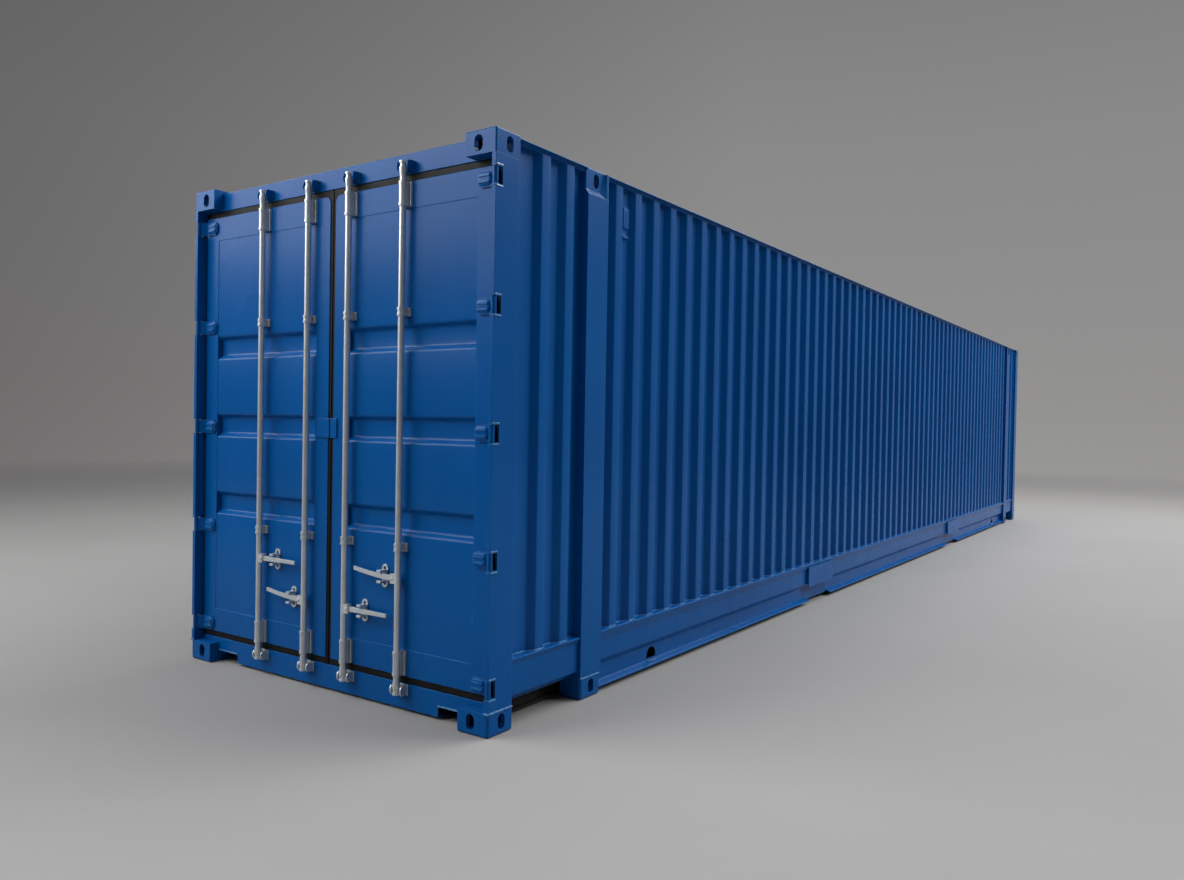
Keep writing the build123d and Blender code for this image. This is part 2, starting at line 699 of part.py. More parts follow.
def make_floor():
    floor_start = FRAME_FACE + SILL_DEPTH
    floor_end = HALF_L - FRONT_RECESS - SILL_DEPTH
    edge = HALF_W - FLOOR_EDGE
    save("floor_boards", box(-edge, edge, floor_start, floor_end, MEMBER_TOP, FLOOR_TOP))
    count = int((floor_end - floor_start - MEMBER_FLANGE) // MEMBER_SPACING)
    first = (floor_start + floor_end - MEMBER_FLANGE - count * MEMBER_SPACING) / 2
    members = []
    for i in range(count + 1):
        y = first + i * MEMBER_SPACING
        path = [
            (y + MEMBER_FLANGE, MEMBER_TOP),
            (y, MEMBER_TOP),
            (y, MEMBER_TOP - MEMBER_HEIGHT),
            (y + MEMBER_FLANGE, MEMBER_TOP - MEMBER_HEIGHT),
        ]
        in_end_bay = abs(y + MEMBER_FLANGE / 2) > MAIN_END - MEMBER_FLANGE
        half = BEAM_X - MEMBER_FLANGE if in_end_bay else FOOT_X - RAIL_PLATE
        members.append(along_x(strip(path, MEMBER_PLATE), -half, half))
    save("cross_members", *members)


def door_outline():
    """The right door's outline, rounded at the upper corner beside the seam."""
    face = outline_face(
        [(SEAM_EDGE, DOOR_LOW), (DOOR_EDGE, DOOR_LOW), (DOOR_EDGE, DOOR_HIGH), (SEAM_EDGE, DOOR_HIGH)]
    )
    return fillet(face.vertices().sort_by_distance((SEAM_EDGE, DOOR_HIGH))[0], DOOR_ROUND)


def door_frame():
    """The right door's welded tube frame."""
    outer = door_outline()
    opening = outline_face([
        (SEAM_EDGE + SEAM_STILE, PANEL_LOW),
        (DOOR_EDGE - HINGE_STILE, PANEL_LOW),
        (DOOR_EDGE - HINGE_STILE, PANEL_HIGH),
        (SEAM_EDGE + SEAM_STILE, PANEL_HIGH),
    ])
    bore = offset(outer, amount=-DOOR_WALL) - offset(opening, amount=DOOR_WALL, kind=Kind.INTERSECTION)
    frame = plate_y(outer - opening, DOOR_FACE, DOOR_BACK)
    return frame - plate_y(bore, DOOR_FACE + DOOR_WALL, DOOR_BACK - DOOR_WALL)


def door_panel():
    """The right door's sheet, pressed inwards in three channels."""
    y = PANEL_FACE
    line = [(y, PANEL_LOW)]
    for centre in CHANNEL_CENTRES:
        low = centre - CHANNEL_HEIGHT / 2
        high = centre + CHANNEL_HEIGHT / 2
        bed = y + CHANNEL_DEPTH
        line += [(y, low), (bed, low + CHANNEL_SLOPE), (bed, high - CHANNEL_SLOPE), (y, high)]
    line.append((y, PANEL_HIGH))
    outline = line + [(a + PANEL_SHEET, b) for a, b in line[::-1]]
    return along_x(outline, SEAM_EDGE + SEAM_STILE, DOOR_EDGE - HINGE_STILE)


def door_gasket():
    """The rubber lip round the right door's frame."""
    y0 = DOOR_FACE + GASKET_RECESS
    outer = box(
        GASKET_CLEARANCE, JAMB_X - GASKET_CLEARANCE, y0, y0 + GASKET_DEPTH,
        SILL_TOP + GASKET_CLEARANCE, HEADER_BOTTOM - GASKET_CLEARANCE,
    )
    return outer - plate_y(door_outline(), y0, y0 + GASKET_DEPTH)


def blade_face(height, right):
    """A hinge blade's front at the given height: chamfered at its free end, square at the right."""
    low = height - KNUCKLE_HEIGHT / 2
    high = height + KNUCKLE_HEIGHT / 2
    free_end = DOOR_EDGE - BLADE_REACH
    return outline_face([
        (free_end, low + BLADE_CHAMFER),
        (free_end + BLADE_CHAMFER, low),
        (right, low),
        (right, high),
        (free_end + BLADE_CHAMFER, high),
        (free_end, high - BLADE_CHAMFER),
    ])


def hinge_blades():
    """The right door's hinge blades: a plate with a raised boss, and an arm forward to the pin."""
    pin = Vector(PIN_X, PIN_Y)
    root = Vector(DOOR_EDGE, DOOR_FACE)
    along = (pin - root).normalized()
    across = Vector(-along.Y, along.X) * (ARM_THICK / 2)
    arm = [
        (DOOR_EDGE - BLADE_REACH, DOOR_FACE),
        (DOOR_EDGE - BLADE_THICK, DOOR_FACE),
        ((pin + across).X, (pin + across).Y),
        ((pin - across).X, (pin - across).Y),
        (DOOR_EDGE - 2 * BLADE_THICK, DOOR_FACE - BLADE_THICK),
        (DOOR_EDGE - BLADE_REACH, DOOR_FACE - BLADE_THICK),
    ]
    front = DOOR_FACE - BLADE_THICK
    blades = []
    for height in HINGE_HEIGHTS:
        low = height - KNUCKLE_HEIGHT / 2
        high = height + KNUCKLE_HEIGHT / 2
        blade = along_z(arm, low, high) + upright(PIN_X, PIN_Y, low, high, KNUCKLE_RADIUS)
        blade = blade & plate_y(blade_face(height, HALF_W), -HALF_L, DOOR_FACE)
        flat = blade_face(height, DOOR_EDGE - 2 * BLADE_THICK)
        boss = offset(flat, amount=-BOSS_INSET, kind=Kind.INTERSECTION)
        blade += plate_y(boss, front - BOSS_THICK, front)
        blades.append(blade - upright(PIN_X, PIN_Y, low, high, PIN_RADIUS + PIN_CLEARANCE))
    return Compound(children=blades)


def saddle(x, low, high, radius, seat):
    """A saddle round a lock bar, standing on the face at seat."""
    return upright(x, BAR_Y, low, high, radius) + box(x - radius, x + radius, BAR_Y, seat, low, high)


def bar_bracket(x, centre, seat, height):
    """A foot with raised rims behind a lock bar, and a bored sleeve with a collar at each end."""
    low = centre - height / 2
    high = centre + height / 2
    foot = box(x - BRACKET_HALF, x + BRACKET_HALF, seat - BRACKET_PLATE, seat, low, high)
    for side in (-1, 1):
        edge = x + side * BRACKET_HALF
        foot += box(edge - side * BRACKET_RIM, edge, seat - BRACKET_RIM_DEPTH, seat, low, high)
    outer = [edge for edge in foot.edges().filter_by(Axis.Y) if abs(edge.center().X - x) > BRACKET_HALF - 1]
    bracket = fillet(outer, BRACKET_RIM / 2) + saddle(x, low, high, SLEEVE_RADIUS, seat)
    for start in (low, high - COLLAR_HEIGHT):
        bracket += saddle(x, start, start + COLLAR_HEIGHT, COLLAR_RADIUS, seat)
    return bracket - upright(x, BAR_Y, low, high, BAR_RADIUS + BAR_CLEARANCE)


def bar_brackets(bar_x_values):
    """Every bracket and guide of the bars at the given places."""
    brackets = []
    for x in bar_x_values:
        for centre in (DOOR_LOW + DOOR_MEMBER / 2, DOOR_HIGH - DOOR_MEMBER / 2):
            brackets.append(bar_bracket(x, centre, DOOR_FACE, BRACKET_HEIGHT))
        for centre in (DOOR_MIDDLE - GUIDE_SPREAD, DOOR_MIDDLE + GUIDE_SPREAD):
            brackets.append(bar_bracket(x, centre, PANEL_FACE, GUIDE_HEIGHT))
    return Compound(children=brackets)


def cam_keepers():
    """The forks on header and sill that the right door's cams turn in."""
    ear_in = CAM_REACH + KEEPER_GAP
    ear_out = ear_in + KEEPER_EAR
    keepers = []
    for x in (INNER_BAR_X, OUTER_BAR_X):
        for z in (BOTTOM_CAM_CENTRE, TOP_CAM_CENTRE):
            fork = [
                (x - ear_out, FRAME_FACE),
                (x - ear_out, -HALF_L + KEEPER_FRONT),
                (x - ear_in, -HALF_L + KEEPER_FRONT),
                (x - ear_in, FRAME_FACE - KEEPER_BASE),
                (x + ear_in, FRAME_FACE - KEEPER_BASE),
                (x + ear_in, -HALF_L + KEEPER_FRONT),
                (x + ear_out, -HALF_L + KEEPER_FRONT),
                (x + ear_out, FRAME_FACE),
            ]
            face = outline_face(fork)
            face = fillet([v for v in face.vertices() if v.Y < FRAME_FACE - 1], KEEPER_ROUND)
            keepers.append(extrude(Plane.XY.offset(z - KEEPER_HEIGHT / 2) * face, amount=KEEPER_HEIGHT))
    return Compound(children=keepers)


def lock_bar(x):
    """A lock bar with a cam at each end: a flared neck, and two jaws whose noses point at the frame."""
    bar = upright(x, BAR_Y, BOTTOM_CAM_CENTRE - BAR_PAST_CAM, TOP_CAM_CENTRE + BAR_PAST_CAM, BAR_RADIUS)
    half = CAM_NOSE_WIDTH / 2
    nose_y = BAR_Y + math.sqrt(CAM_REACH ** 2 - half ** 2)
    jaw = [(x - CAM_RADIUS, BAR_Y), (x - half, nose_y), (x + half, nose_y), (x + CAM_RADIUS, BAR_Y)]
    for centre, inward in ((BOTTOM_CAM_CENTRE, 1), (TOP_CAM_CENTRE, -1)):
        for start in (centre - CAM_HEIGHT / 2, centre + CAM_HEIGHT / 2 - CAM_JAW):
            bar += upright(x, BAR_Y, start, start + CAM_JAW, CAM_RADIUS)
            bar += along_z(jaw, start, start + CAM_JAW)
        flare = Cone(BAR_RADIUS, CAM_RADIUS, CAM_NECK)
        neck_z = centre + inward * (CAM_HEIGHT + CAM_NECK) / 2
        bar += Pos(x, BAR_Y, neck_z) * (Rot(180, 0, 0) * flare if inward > 0 else flare)
    return bar


def handle(x, z, side, rise):
    """A handle on the bar at x, pointing to +X where side is 1, else to -X, with its tip lifted by rise."""
    root = HANDLE_HEIGHT / 2
    tip = HANDLE_TIP / 2
    middle = x + side * HANDLE_LENGTH / 2
    end = x + side * HANDLE_LENGTH
    arm = Bezier((x, z - root), (middle, z - tip), (end, z + rise - tip))
    arm += Line((end, z + rise - tip), (end, z + rise + tip))
    arm += Bezier((end, z + rise + tip), (middle, z + tip), (x, z + root))
    arm += Line((x, z + root), (x, z - root))
    arm = plate_y(make_face(arm), BAR_Y - HANDLE_THICK / 2, BAR_Y + HANDLE_THICK / 2)
    block = box(
        x, x + side * HUB_REACH, BAR_Y - HUB_DEPTH / 2, BAR_Y + HUB_DEPTH / 2,
        z - HUB_HEIGHT / 2, z + HUB_HEIGHT / 2,
    )
    hub = fillet([edge for edge in block.edges() if abs(edge.center().X - x) > HUB_REACH - 1], HUB_ROUND)
    bore = upright(x, BAR_Y, z - HUB_HEIGHT, z + HUB_HEIGHT, BAR_RADIUS + HUB_CLEARANCE)
    return arm + hub - bore


def handle_catch(x, z):
    """A retainer on the door: two rings on one plate, with an ear above and below the handle."""
    rings = Rectangle(CATCH_EAR_WIDTH, 2 * CATCH_LOBE_CENTRE)
    for side in (-1, 1):
        rings += Pos(0, side * CATCH_LOBE_CENTRE) * Circle(CATCH_LOBE)
    for side in (-1, 1):
        rings -= Pos(0, side * CATCH_LOBE_CENTRE) * Circle(CATCH_HOLE)
    catch = Pos(x, 0, z) * plate_y(rings, PANEL_FACE - CATCH_PLATE, PANEL_FACE)
    gap = HANDLE_HEIGHT / 2 + CATCH_EAR_GAP
    half = CATCH_EAR_WIDTH / 2
    for low in (z - gap - CATCH_EAR, z + gap):
        catch += box(x - half, x + half, -HALF_L + CATCH_FRONT, PANEL_FACE, low, low + CATCH_EAR)
    return catch


def seam_plate(reach):
    """A plate on a door's seam stile, ending at the gap between the doors."""
    low = DOOR_MIDDLE - SEAM_PLATE_HEIGHT / 2
    return box(GASKET_CLEARANCE, reach, DOOR_FACE - SEAM_PLATE_THICK, DOOR_FACE, low, low + SEAM_PLATE_HEIGHT)


def make_doors():
    bars = (INNER_BAR_X, OUTER_BAR_X)
    pieces = {
        "door_frame": door_frame(),
        "door_panel": door_panel(),
        "door_gasket": door_gasket(),
        "hinge_blades": hinge_blades(),
        "bar_brackets": bar_brackets(bars),
        "inner_bar": lock_bar(INNER_BAR_X),
        "outer_bar": lock_bar(OUTER_BAR_X),
        "handle_catches": Compound(children=[
            handle_catch(INNER_BAR_X + CATCH_REACH, INNER_HANDLE_Z),
            handle_catch(OUTER_BAR_X - CATCH_REACH, OUTER_HANDLE_Z),
        ]),
    }
    for name, piece in pieces.items():
        save(f"{name}_right", piece)
        save(f"{name}_left", mirror(piece, about=SIDES))
    save("inner_handle_right", handle(INNER_BAR_X, INNER_HANDLE_Z, 1, 0))
    save("outer_handle_right", handle(OUTER_BAR_X, OUTER_HANDLE_Z, -1, HANDLE_RISE))
    save("inner_handle_left", handle(-INNER_BAR_X, INNER_HANDLE_Z, -1, HANDLE_RISE))
    save("outer_handle_left", handle(-OUTER_BAR_X, OUTER_HANDLE_Z, 1, 0))
    save("seam_plate_right", seam_plate(SEAM_PLATE_RIGHT))
    save("seam_plate_left", mirror(seam_plate(SEAM_PLATE_LEFT), about=SIDES))
    save("cam_keepers", *both_sides(cam_keepers()))


os.makedirs("parts", exist_ok=True)
make_castings()
make_posts()
make_end_frames()
make_rails()
make_walls()
make_floor()
make_doors()
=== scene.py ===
import math

import bpy
from mathutils import Matrix, Vector
from mathutils.geometry import tessellate_polygon


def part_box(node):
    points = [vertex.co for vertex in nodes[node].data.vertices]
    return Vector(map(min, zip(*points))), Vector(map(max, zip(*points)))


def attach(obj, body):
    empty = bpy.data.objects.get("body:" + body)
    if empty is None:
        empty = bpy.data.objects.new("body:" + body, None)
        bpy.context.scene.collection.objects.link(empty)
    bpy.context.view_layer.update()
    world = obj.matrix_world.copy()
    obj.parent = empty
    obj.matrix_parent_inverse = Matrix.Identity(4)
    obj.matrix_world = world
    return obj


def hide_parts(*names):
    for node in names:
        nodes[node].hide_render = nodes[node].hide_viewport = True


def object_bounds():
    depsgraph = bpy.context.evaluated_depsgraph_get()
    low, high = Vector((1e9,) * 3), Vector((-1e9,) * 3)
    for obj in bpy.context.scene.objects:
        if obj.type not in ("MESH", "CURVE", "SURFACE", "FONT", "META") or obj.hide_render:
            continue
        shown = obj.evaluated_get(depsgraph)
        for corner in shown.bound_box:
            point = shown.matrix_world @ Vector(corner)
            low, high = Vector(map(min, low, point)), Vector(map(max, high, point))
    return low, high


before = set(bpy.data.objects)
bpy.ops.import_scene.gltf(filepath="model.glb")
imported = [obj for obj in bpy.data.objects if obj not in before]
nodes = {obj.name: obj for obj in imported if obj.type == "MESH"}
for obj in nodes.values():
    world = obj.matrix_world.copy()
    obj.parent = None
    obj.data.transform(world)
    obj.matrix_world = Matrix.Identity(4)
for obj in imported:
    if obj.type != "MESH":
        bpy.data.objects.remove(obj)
cad_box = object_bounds()
X, Y, Z = 0, 1, 2

# Camera, fitted to the container's corners in the photo of 1184 x 880; its angles are in radians
IMAGE_WIDTH = 1184
FOCAL_PIXELS = 906.83
SENSOR_WIDTH = 36.0
CAMERA_PLACE = (4.0218, -10.1138, 1.5029)
CAMERA_YAW = 0.60078
CAMERA_PITCH = -0.01706
CAMERA_ROLL = 0.01730

# Lengths below are in metres.

# Reading and shading of meshes, with angles in degrees
SAME_PLACE = 1e-5
CLOSE = 0.001
JOIN_REACH = 0.00002
FLAT_ANGLE = 0.5
SMOOTH_ANGLE = 30
SHARP_ANGLE = 32

# Pressed sheets
SHEET = 0.002
BEND_RADIUS = 0.016
CHANNEL_BEND = 0.020
BEND_STEPS = 4
RAIL_BEND = 0.009

# Bottom rails: the ledge and how far it is lowered, the web, and the room round a drain hole
LEDGE_TOP = 0.070
LEDGE_DROP = 0.020
LEDGE_ROOM = 0.006
WEB_TOP = 0.135
WEB_ROOM = 0.006
WEB_LEAST = 0.04
ARCH_LOW = 0.060
RECESS_LIFT = 0.004
DRAIN_ROOM = 0.02
DRAIN_LIP = 0.024
DRAIN_LIP_STEPS = 12

# Door sill: how much further its cut-outs reach than the solid's, and the height of their upper edge
SILL_CUT_MORE = 0.042
SILL_CUT_TOP = 0.072
SILL_CUT_ROOM = 0.0005

# Welds; the ripple's turn is in radians for each step along a bead
WELD = 0.0045
CASTING_WELD = 0.0060
WELD_STEP = 0.012
LONG_WELD_STEP = 0.04
WELD_SIDES = 6
WELD_RIPPLE = 0.15
WELD_RIPPLE_TURN = 2.1
WELD_ASIDE = (0.31, 0.52, 0.79)
POST_FACE = 0.026
LUG_WELD_INSET = 0.004
SHEET_WELD_OUT = 0.001

# Castings
CASTING_LENGTH = 0.178
CASTING_WIDTH = 0.193
INNER_CASTING_WIDTH = 0.140
CASTING_HEIGHT = 0.118
CASTING_WALL = 0.028
CASTING_BACK = 0.014
TOP_RECESS = 0.020
# Thickness of the dark plates of painted shade inside the castings, and the easing of their edges
SHADE_PLATE = 0.001
SHADE_PLATE_EDGE = SHADE_PLATE / 4

# Ventilators: (depth, share of the height) corners of their section
VENT_DEPTH = 0.016
VENT_EDGE = 0.002
VENT_OUTLINE = (
    (0.0, 1.0), (0.016, 0.87), (0.016, 0.32), (0.005, 0.25),
    (0.005, 0.13), (0.014, 0.07), (0.014, 0.0), (0.0, 0.0),
)

# Cam keepers
KEEPER_HEIGHT = 0.050
KEEPER_PLATE = 0.005
EAR = 0.010
EAR_NOSE = 0.016
EAR_EDGE = 0.003
EAR_STEPS = 10

# Hinge blades
BLADE_PLATE = 0.010
BLADE_HEIGHT = 0.080
BOSS_EDGE = 0.005
BOSS_ARM = 0.024
BOSS_RISE = 0.009
BOSS_ROUND = 0.28
BOSS_FLATNESS = 6
BOSS_STEPS = 10
RIB = 0.005
RIB_INSET = 0.010
RIB_STEP = 0.01
RIB_LEVELS = (0.30, 0.66)

# Rivets and handle pivots
RIVET = 0.0055
FOOT_MIDDLE = 0.070
FOOT_PLATE = 0.005
FOOT_RIVET = 0.0033
FOOT_RIVET_X = 0.0265
FOOT_RIVET_Z = 0.038
PLATE_RIVET_INSET = 0.014
PIVOT = 0.009
PIVOT_REACH = 0.032
PIVOT_RISE = 0.025

# Floor boards
BOARD_LENGTH = 2.4
BOARD_GAP = 0.003
BOARD_EDGE = 0.002
STEEL_STRIP = 0.05
STRIP_DEPTH = 0.006
SCREW = 0.005
SCREW_RISE = 0.0009
SCREW_SINK = 0.0004
SCREW_SPACING = 0.305
SCREW_PLACES = (0.08, 0.42, 0.76, 1.10)

# Edge rounding of the CAD nodes, and how far the paint is lightened beside an edge, partly as rubbed paint
# and partly as a painted highlight
EDGE_FINE = 0.0012
EDGE_PLATE = 0.0022
EDGE_CASTING = 0.010
EDGE_BLADE = 0.005
EDGE_RUBBER = 0.007
EDGE_WEAR_AND_HIGHLIGHT = 0.005

# Studio
FLOOR_SIZE = 60.0
VIEW_END = 300.0


# Materials

def new_material(name):
    """An empty node material: its tree, and its shader wired to the output."""
    material = bpy.data.materials.new(name)
    material.use_nodes = True
    tree = material.node_tree
    tree.nodes.clear()
    shader = tree.nodes.new("ShaderNodeBsdfPrincipled")
    output = tree.nodes.new("ShaderNodeOutputMaterial")
    tree.links.new(shader.outputs["BSDF"], output.inputs["Surface"])
    return material, tree, shader


def coordinates(tree, scale=(1, 1, 1)):
    """Place on the object in metres, stretched by a scale."""
    place = tree.nodes.new("ShaderNodeTexCoord")
    mapping = tree.nodes.new("ShaderNodeMapping")
    mapping.inputs["Scale"].default_value = scale
    tree.links.new(place.outputs["Object"], mapping.inputs["Vector"])
    return mapping.outputs["Vector"]


def noise(tree, scale, detail=3.0, stretch=(1, 1, 1)):
    """A noise value from 0 to 1."""
    node = tree.nodes.new("ShaderNodeTexNoise")
    node.inputs["Scale"].default_value = scale
    node.inputs["Detail"].default_value = detail
    tree.links.new(coordinates(tree, stretch), node.inputs["Vector"])
    return node.outputs["Fac"]


def ramp(tree, value, stops):
    """A colour from a value, through (place, colour) stops."""
    node = tree.nodes.new("ShaderNodeValToRGB")
    while len(node.color_ramp.elements) < len(stops):
        node.color_ramp.elements.new(0.5)
    for element, (place, colour) in zip(node.color_ramp.elements, stops):
        element.position = place
        element.color = (*colour, 1.0)
    tree.links.new(value, node.inputs["Fac"])
    return node.outputs["Color"]


def remap(tree, value, low, high, source=(0.0, 1.0)):
    """A value carried from one range to another."""
    node = tree.nodes.new("ShaderNodeMapRange")
    node.inputs["From Min"].default_value = source[0]
    node.inputs["From Max"].default_value = source[1]
    node.inputs["To Min"].default_value = low
    node.inputs["To Max"].default_value = high
    tree.links.new(value, node.inputs["Value"])
    return node.outputs["Result"]


def blend(tree, kind, factor, first, second):
    """Two colours mixed; factor is a number or a value."""
    node = tree.nodes.new("ShaderNodeMix")
    node.data_type = "RGBA"
    node.blend_type = kind
    for value, socket in ((factor, node.inputs[0]), (first, node.inputs[6]), (second, node.inputs[7])):
        if isinstance(value, bpy.types.NodeSocket):
            tree.links.new(value, socket)
        else:
            socket.default_value = value
    return node.outputs[2]


def bump(tree, shader, *layers):
    """Bump from (height, strength, distance) layers, the coarse one first."""
    normal = None
    for height, strength, distance in layers:
        node = tree.nodes.new("ShaderNodeBump")
        node.inputs["Strength"].default_value = strength
        node.inputs["Distance"].default_value = distance
        tree.links.new(height, node.inputs["Height"])
        if normal:
            tree.links.new(normal, node.inputs["Normal"])
        normal = node.outputs["Normal"]
    tree.links.new(normal, shader.inputs["Normal"])


def edge_mask(tree, reach):
    """A value that rises from 0 to 1 close to the sharp edges of a piece."""
    smooth = tree.nodes.new("ShaderNodeBevel")
    smooth.samples = 4
    smooth.inputs["Radius"].default_value = reach
    flat = tree.nodes.new("ShaderNodeNewGeometry")
    match = tree.nodes.new("ShaderNodeVectorMath")
    match.operation = "DOT_PRODUCT"
    tree.links.new(smooth.outputs["Normal"], match.inputs[0])
    tree.links.new(flat.outputs["Normal"], match.inputs[1])
    return remap(tree, match.outputs["Value"], 1.0, 0.0, (0.80, 0.985))


def paint():
    """Satin-gloss blue container paint over pressed steel."""
    material, tree, shader = new_material("blue_paint")
    tone = ramp(tree, noise(tree, 0.9, 4), [
        (0.30, (0.0002, 0.075, 0.280)), (0.52, (0.0002, 0.083, 0.303)), (0.75, (0.0004, 0.092, 0.325)),
    ])
    streaks = ramp(tree, noise(tree, 7.0, 3, (1, 1, 0.12)), [(0.35, (0.93, 0.94, 0.95)), (0.65, (1, 1, 1))])
    colour = blend(tree, "MULTIPLY", 1.0, tone, streaks)
    # Lighter blue along sharp edges: partly rubbed paint, partly a painted highlight where the edges catch
    # the light
    rubbed_and_highlit = ramp(tree, noise(tree, 24.0, 4), [(0.35, (0.006, 0.13, 0.37)), (0.65, (0.06, 0.22, 0.46))])
    colour = blend(tree, "MIX", edge_mask(tree, EDGE_WEAR_AND_HIGHLIGHT), colour, rubbed_and_highlit)
    tree.links.new(colour, shader.inputs["Base Color"])
    tree.links.new(remap(tree, noise(tree, 3.0, 4), 0.22, 0.32), shader.inputs["Roughness"])
    shader.inputs["Specular IOR Level"].default_value = 0.11
    bump(
        tree, shader,
        (noise(tree, 2.2, 2), 0.10, 0.010),
        (noise(tree, 260.0, 2), 0.03, 0.0005),
    )
    return material


def weld_highlight_paint():
    """The same paint, glossy over the ripple of a weld, in a lighter blue that is a painted highlight."""
    material, tree, shader = new_material("weld_highlight_paint")
    # A lighter blue than the paint: painted highlight on the weld beads
    tone = ramp(tree, noise(tree, 40.0, 3), [(0.3, (0.02, 0.13, 0.34)), (0.7, (0.10, 0.26, 0.47))])
    tree.links.new(tone, shader.inputs["Base Color"])
    tree.links.new(remap(tree, noise(tree, 30.0, 3), 0.18, 0.30), shader.inputs["Roughness"])
    bump(tree, shader, (noise(tree, 180.0, 2), 0.20, 0.0010))
    return material


def galvanised():
    """Hot-dip galvanised steel with its spangle."""
    material, tree, shader = new_material("galvanised_steel")
    cells = tree.nodes.new("ShaderNodeTexVoronoi")
    cells.inputs["Scale"].default_value = 95.0
    tree.links.new(coordinates(tree), cells.inputs["Vector"])
    spangle = ramp(tree, cells.outputs["Color"], [(0.0, (0.54, 0.58, 0.61)), (1.0, (0.63, 0.67, 0.69))])
    weather = ramp(tree, noise(tree, 9.0, 4), [(0.35, (0.90, 0.91, 0.91)), (0.65, (1, 1, 1))])
    tree.links.new(blend(tree, "MULTIPLY", 1.0, spangle, weather), shader.inputs["Base Color"])
    shader.inputs["Metallic"].default_value = 0.55
    tree.links.new(remap(tree, noise(tree, 22.0, 4), 0.30, 0.38), shader.inputs["Roughness"])
    bump(tree, shader, (noise(tree, 60.0, 3), 0.05, 0.0005))
    return material


def rubber():
    """Dark grey door rubber."""
    material, tree, shader = new_material("rubber")
    tone = ramp(tree, noise(tree, 14.0, 4), [(0.3, (0.004, 0.004, 0.0042)), (0.7, (0.009, 0.009, 0.0092))])
    tree.links.new(tone, shader.inputs["Base Color"])
    tree.links.new(remap(tree, noise(tree, 30.0, 3), 0.50, 0.68), shader.inputs["Roughness"])
    shader.inputs["Specular IOR Level"].default_value = 0.12
    bump(tree, shader, (noise(tree, 320.0, 2), 0.12, 0.0008))
    return material


def plywood():
    """Varnished plywood floor, with its grain along the container."""
    material, tree, shader = new_material("plywood")
    grain = noise(tree, 5.0, 8, (9, 0.5, 9))
    tone = ramp(tree, grain, [
        (0.30, (0.13, 0.062, 0.026)), (0.55, (0.25, 0.128, 0.055)), (0.75, (0.34, 0.19, 0.09)),
    ])
    tree.links.new(tone, shader.inputs["Base Color"])
    tree.links.new(remap(tree, grain, 0.38, 0.58), shader.inputs["Roughness"])
    bump(tree, shader, (grain, 0.20, 0.0010))
    return material


def underseal():
    """Black bitumen coating of the underside."""
    material, tree, shader = new_material("underseal")
    tone = ramp(tree, noise(tree, 8.0, 4), [(0.3, (0.010, 0.010, 0.011)), (0.7, (0.024, 0.024, 0.025))])
    tree.links.new(tone, shader.inputs["Base Color"])
    tree.links.new(remap(tree, noise(tree, 20.0, 3), 0.60, 0.80), shader.inputs["Roughness"])
    bump(tree, shader, (noise(tree, 90.0, 3), 0.30, 0.0020))
    return material


MATERIALS = {
    "blue_paint": paint(),
    "galvanised_steel": galvanised(),
    "rubber": rubber(),
    "plywood": plywood(),
    "underseal": underseal(),
}


# Meshes

def add_piece(name, corners, faces, body, slot, replaced=()):
    """A new piece of the object from its corners and faces, riding on a body."""
    mesh = bpy.data.meshes.new(name)
    mesh.from_pydata([tuple(corner) for corner in corners], [], faces)
    mesh.update()
    mesh.shade_smooth()
    mesh.set_sharp_from_angle(angle=math.radians(SMOOTH_ANGLE))
    piece = bpy.data.objects.new(name, mesh)
    bpy.context.scene.collection.objects.link(piece)
    mesh.materials.append(MATERIALS[slot])
    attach(piece, body)
    if replaced:
        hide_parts(*replaced)
    return piece


def fold_line(node, along, out, face, inside=None):
    """The corners of a pressed sheet's outer face, read off its node: (place, level) pairs along it."""
    levels = {}
    for vertex in nodes[node].data.vertices:
        if inside is None or inside(vertex.co):
            levels.setdefault(round(vertex.co[along], 4), []).append(vertex.co[out] * face)
    return [(place, max(level) * face) for place, level in sorted(levels.items())]


def rounded(line, radius):
    """A line of corners with each bend turned into a short curve."""
    points = [Vector(corner) for corner in line]
    curve = [points[0]]
    for before, corner, after in zip(points, points[1:], points[2:]):
        back = before - corner
        ahead = after - corner
        turn = math.pi - back.angle(ahead)
        reach = min(radius * math.tan(turn / 2), back.length / 2, ahead.length / 2)
        start = corner + back.normalized() * reach
        end = corner + ahead.normalized() * reach
        for step in range(BEND_STEPS + 1):
            t = step / BEND_STEPS
            curve.append(start * (1 - t) ** 2 + corner * 2 * t * (1 - t) + end * t ** 2)
    return curve + [points[-1]]


def pressed_sheet(line, along, out, face, low, high):
    """Corners and faces of a sheet with a bent line, carried between two places on the third axis."""
    across = 3 - along - out
    corners = []
    for place, level in line:
        for depth in (0, face * SHEET):
            for end in (low, high):
                corner = [0.0, 0.0, 0.0]
                corner[along] = place
                corner[out] = level - depth
                corner[across] = end
                corners.append(corner)
    faces = []
    last = 4 * (len(line) - 1)
    for a in range(0, last, 4):
        b = a + 4
        faces += [
            (a, a + 1, b + 1, b), (a + 2, b + 2, b + 3, a + 3),
            (a, b, b + 2, a + 2), (a + 1, a + 3, b + 3, b + 1),
        ]
    faces += [(0, 2, 3, 1), (last, last + 1, last + 3, last + 2)]
    flip = (across - along) % 3 == 1
    if flip == (face > 0):
        faces = [corner_list[::-1] for corner_list in faces]
    return corners, faces


def gather(parts):
    """Several sets of corners and faces as one."""
    corners, faces = [], []
    for part_corners, part_faces in parts:
        start = len(corners)
        corners += part_corners
        faces += [tuple(start + i for i in face) for face in part_faces]
    return corners, faces


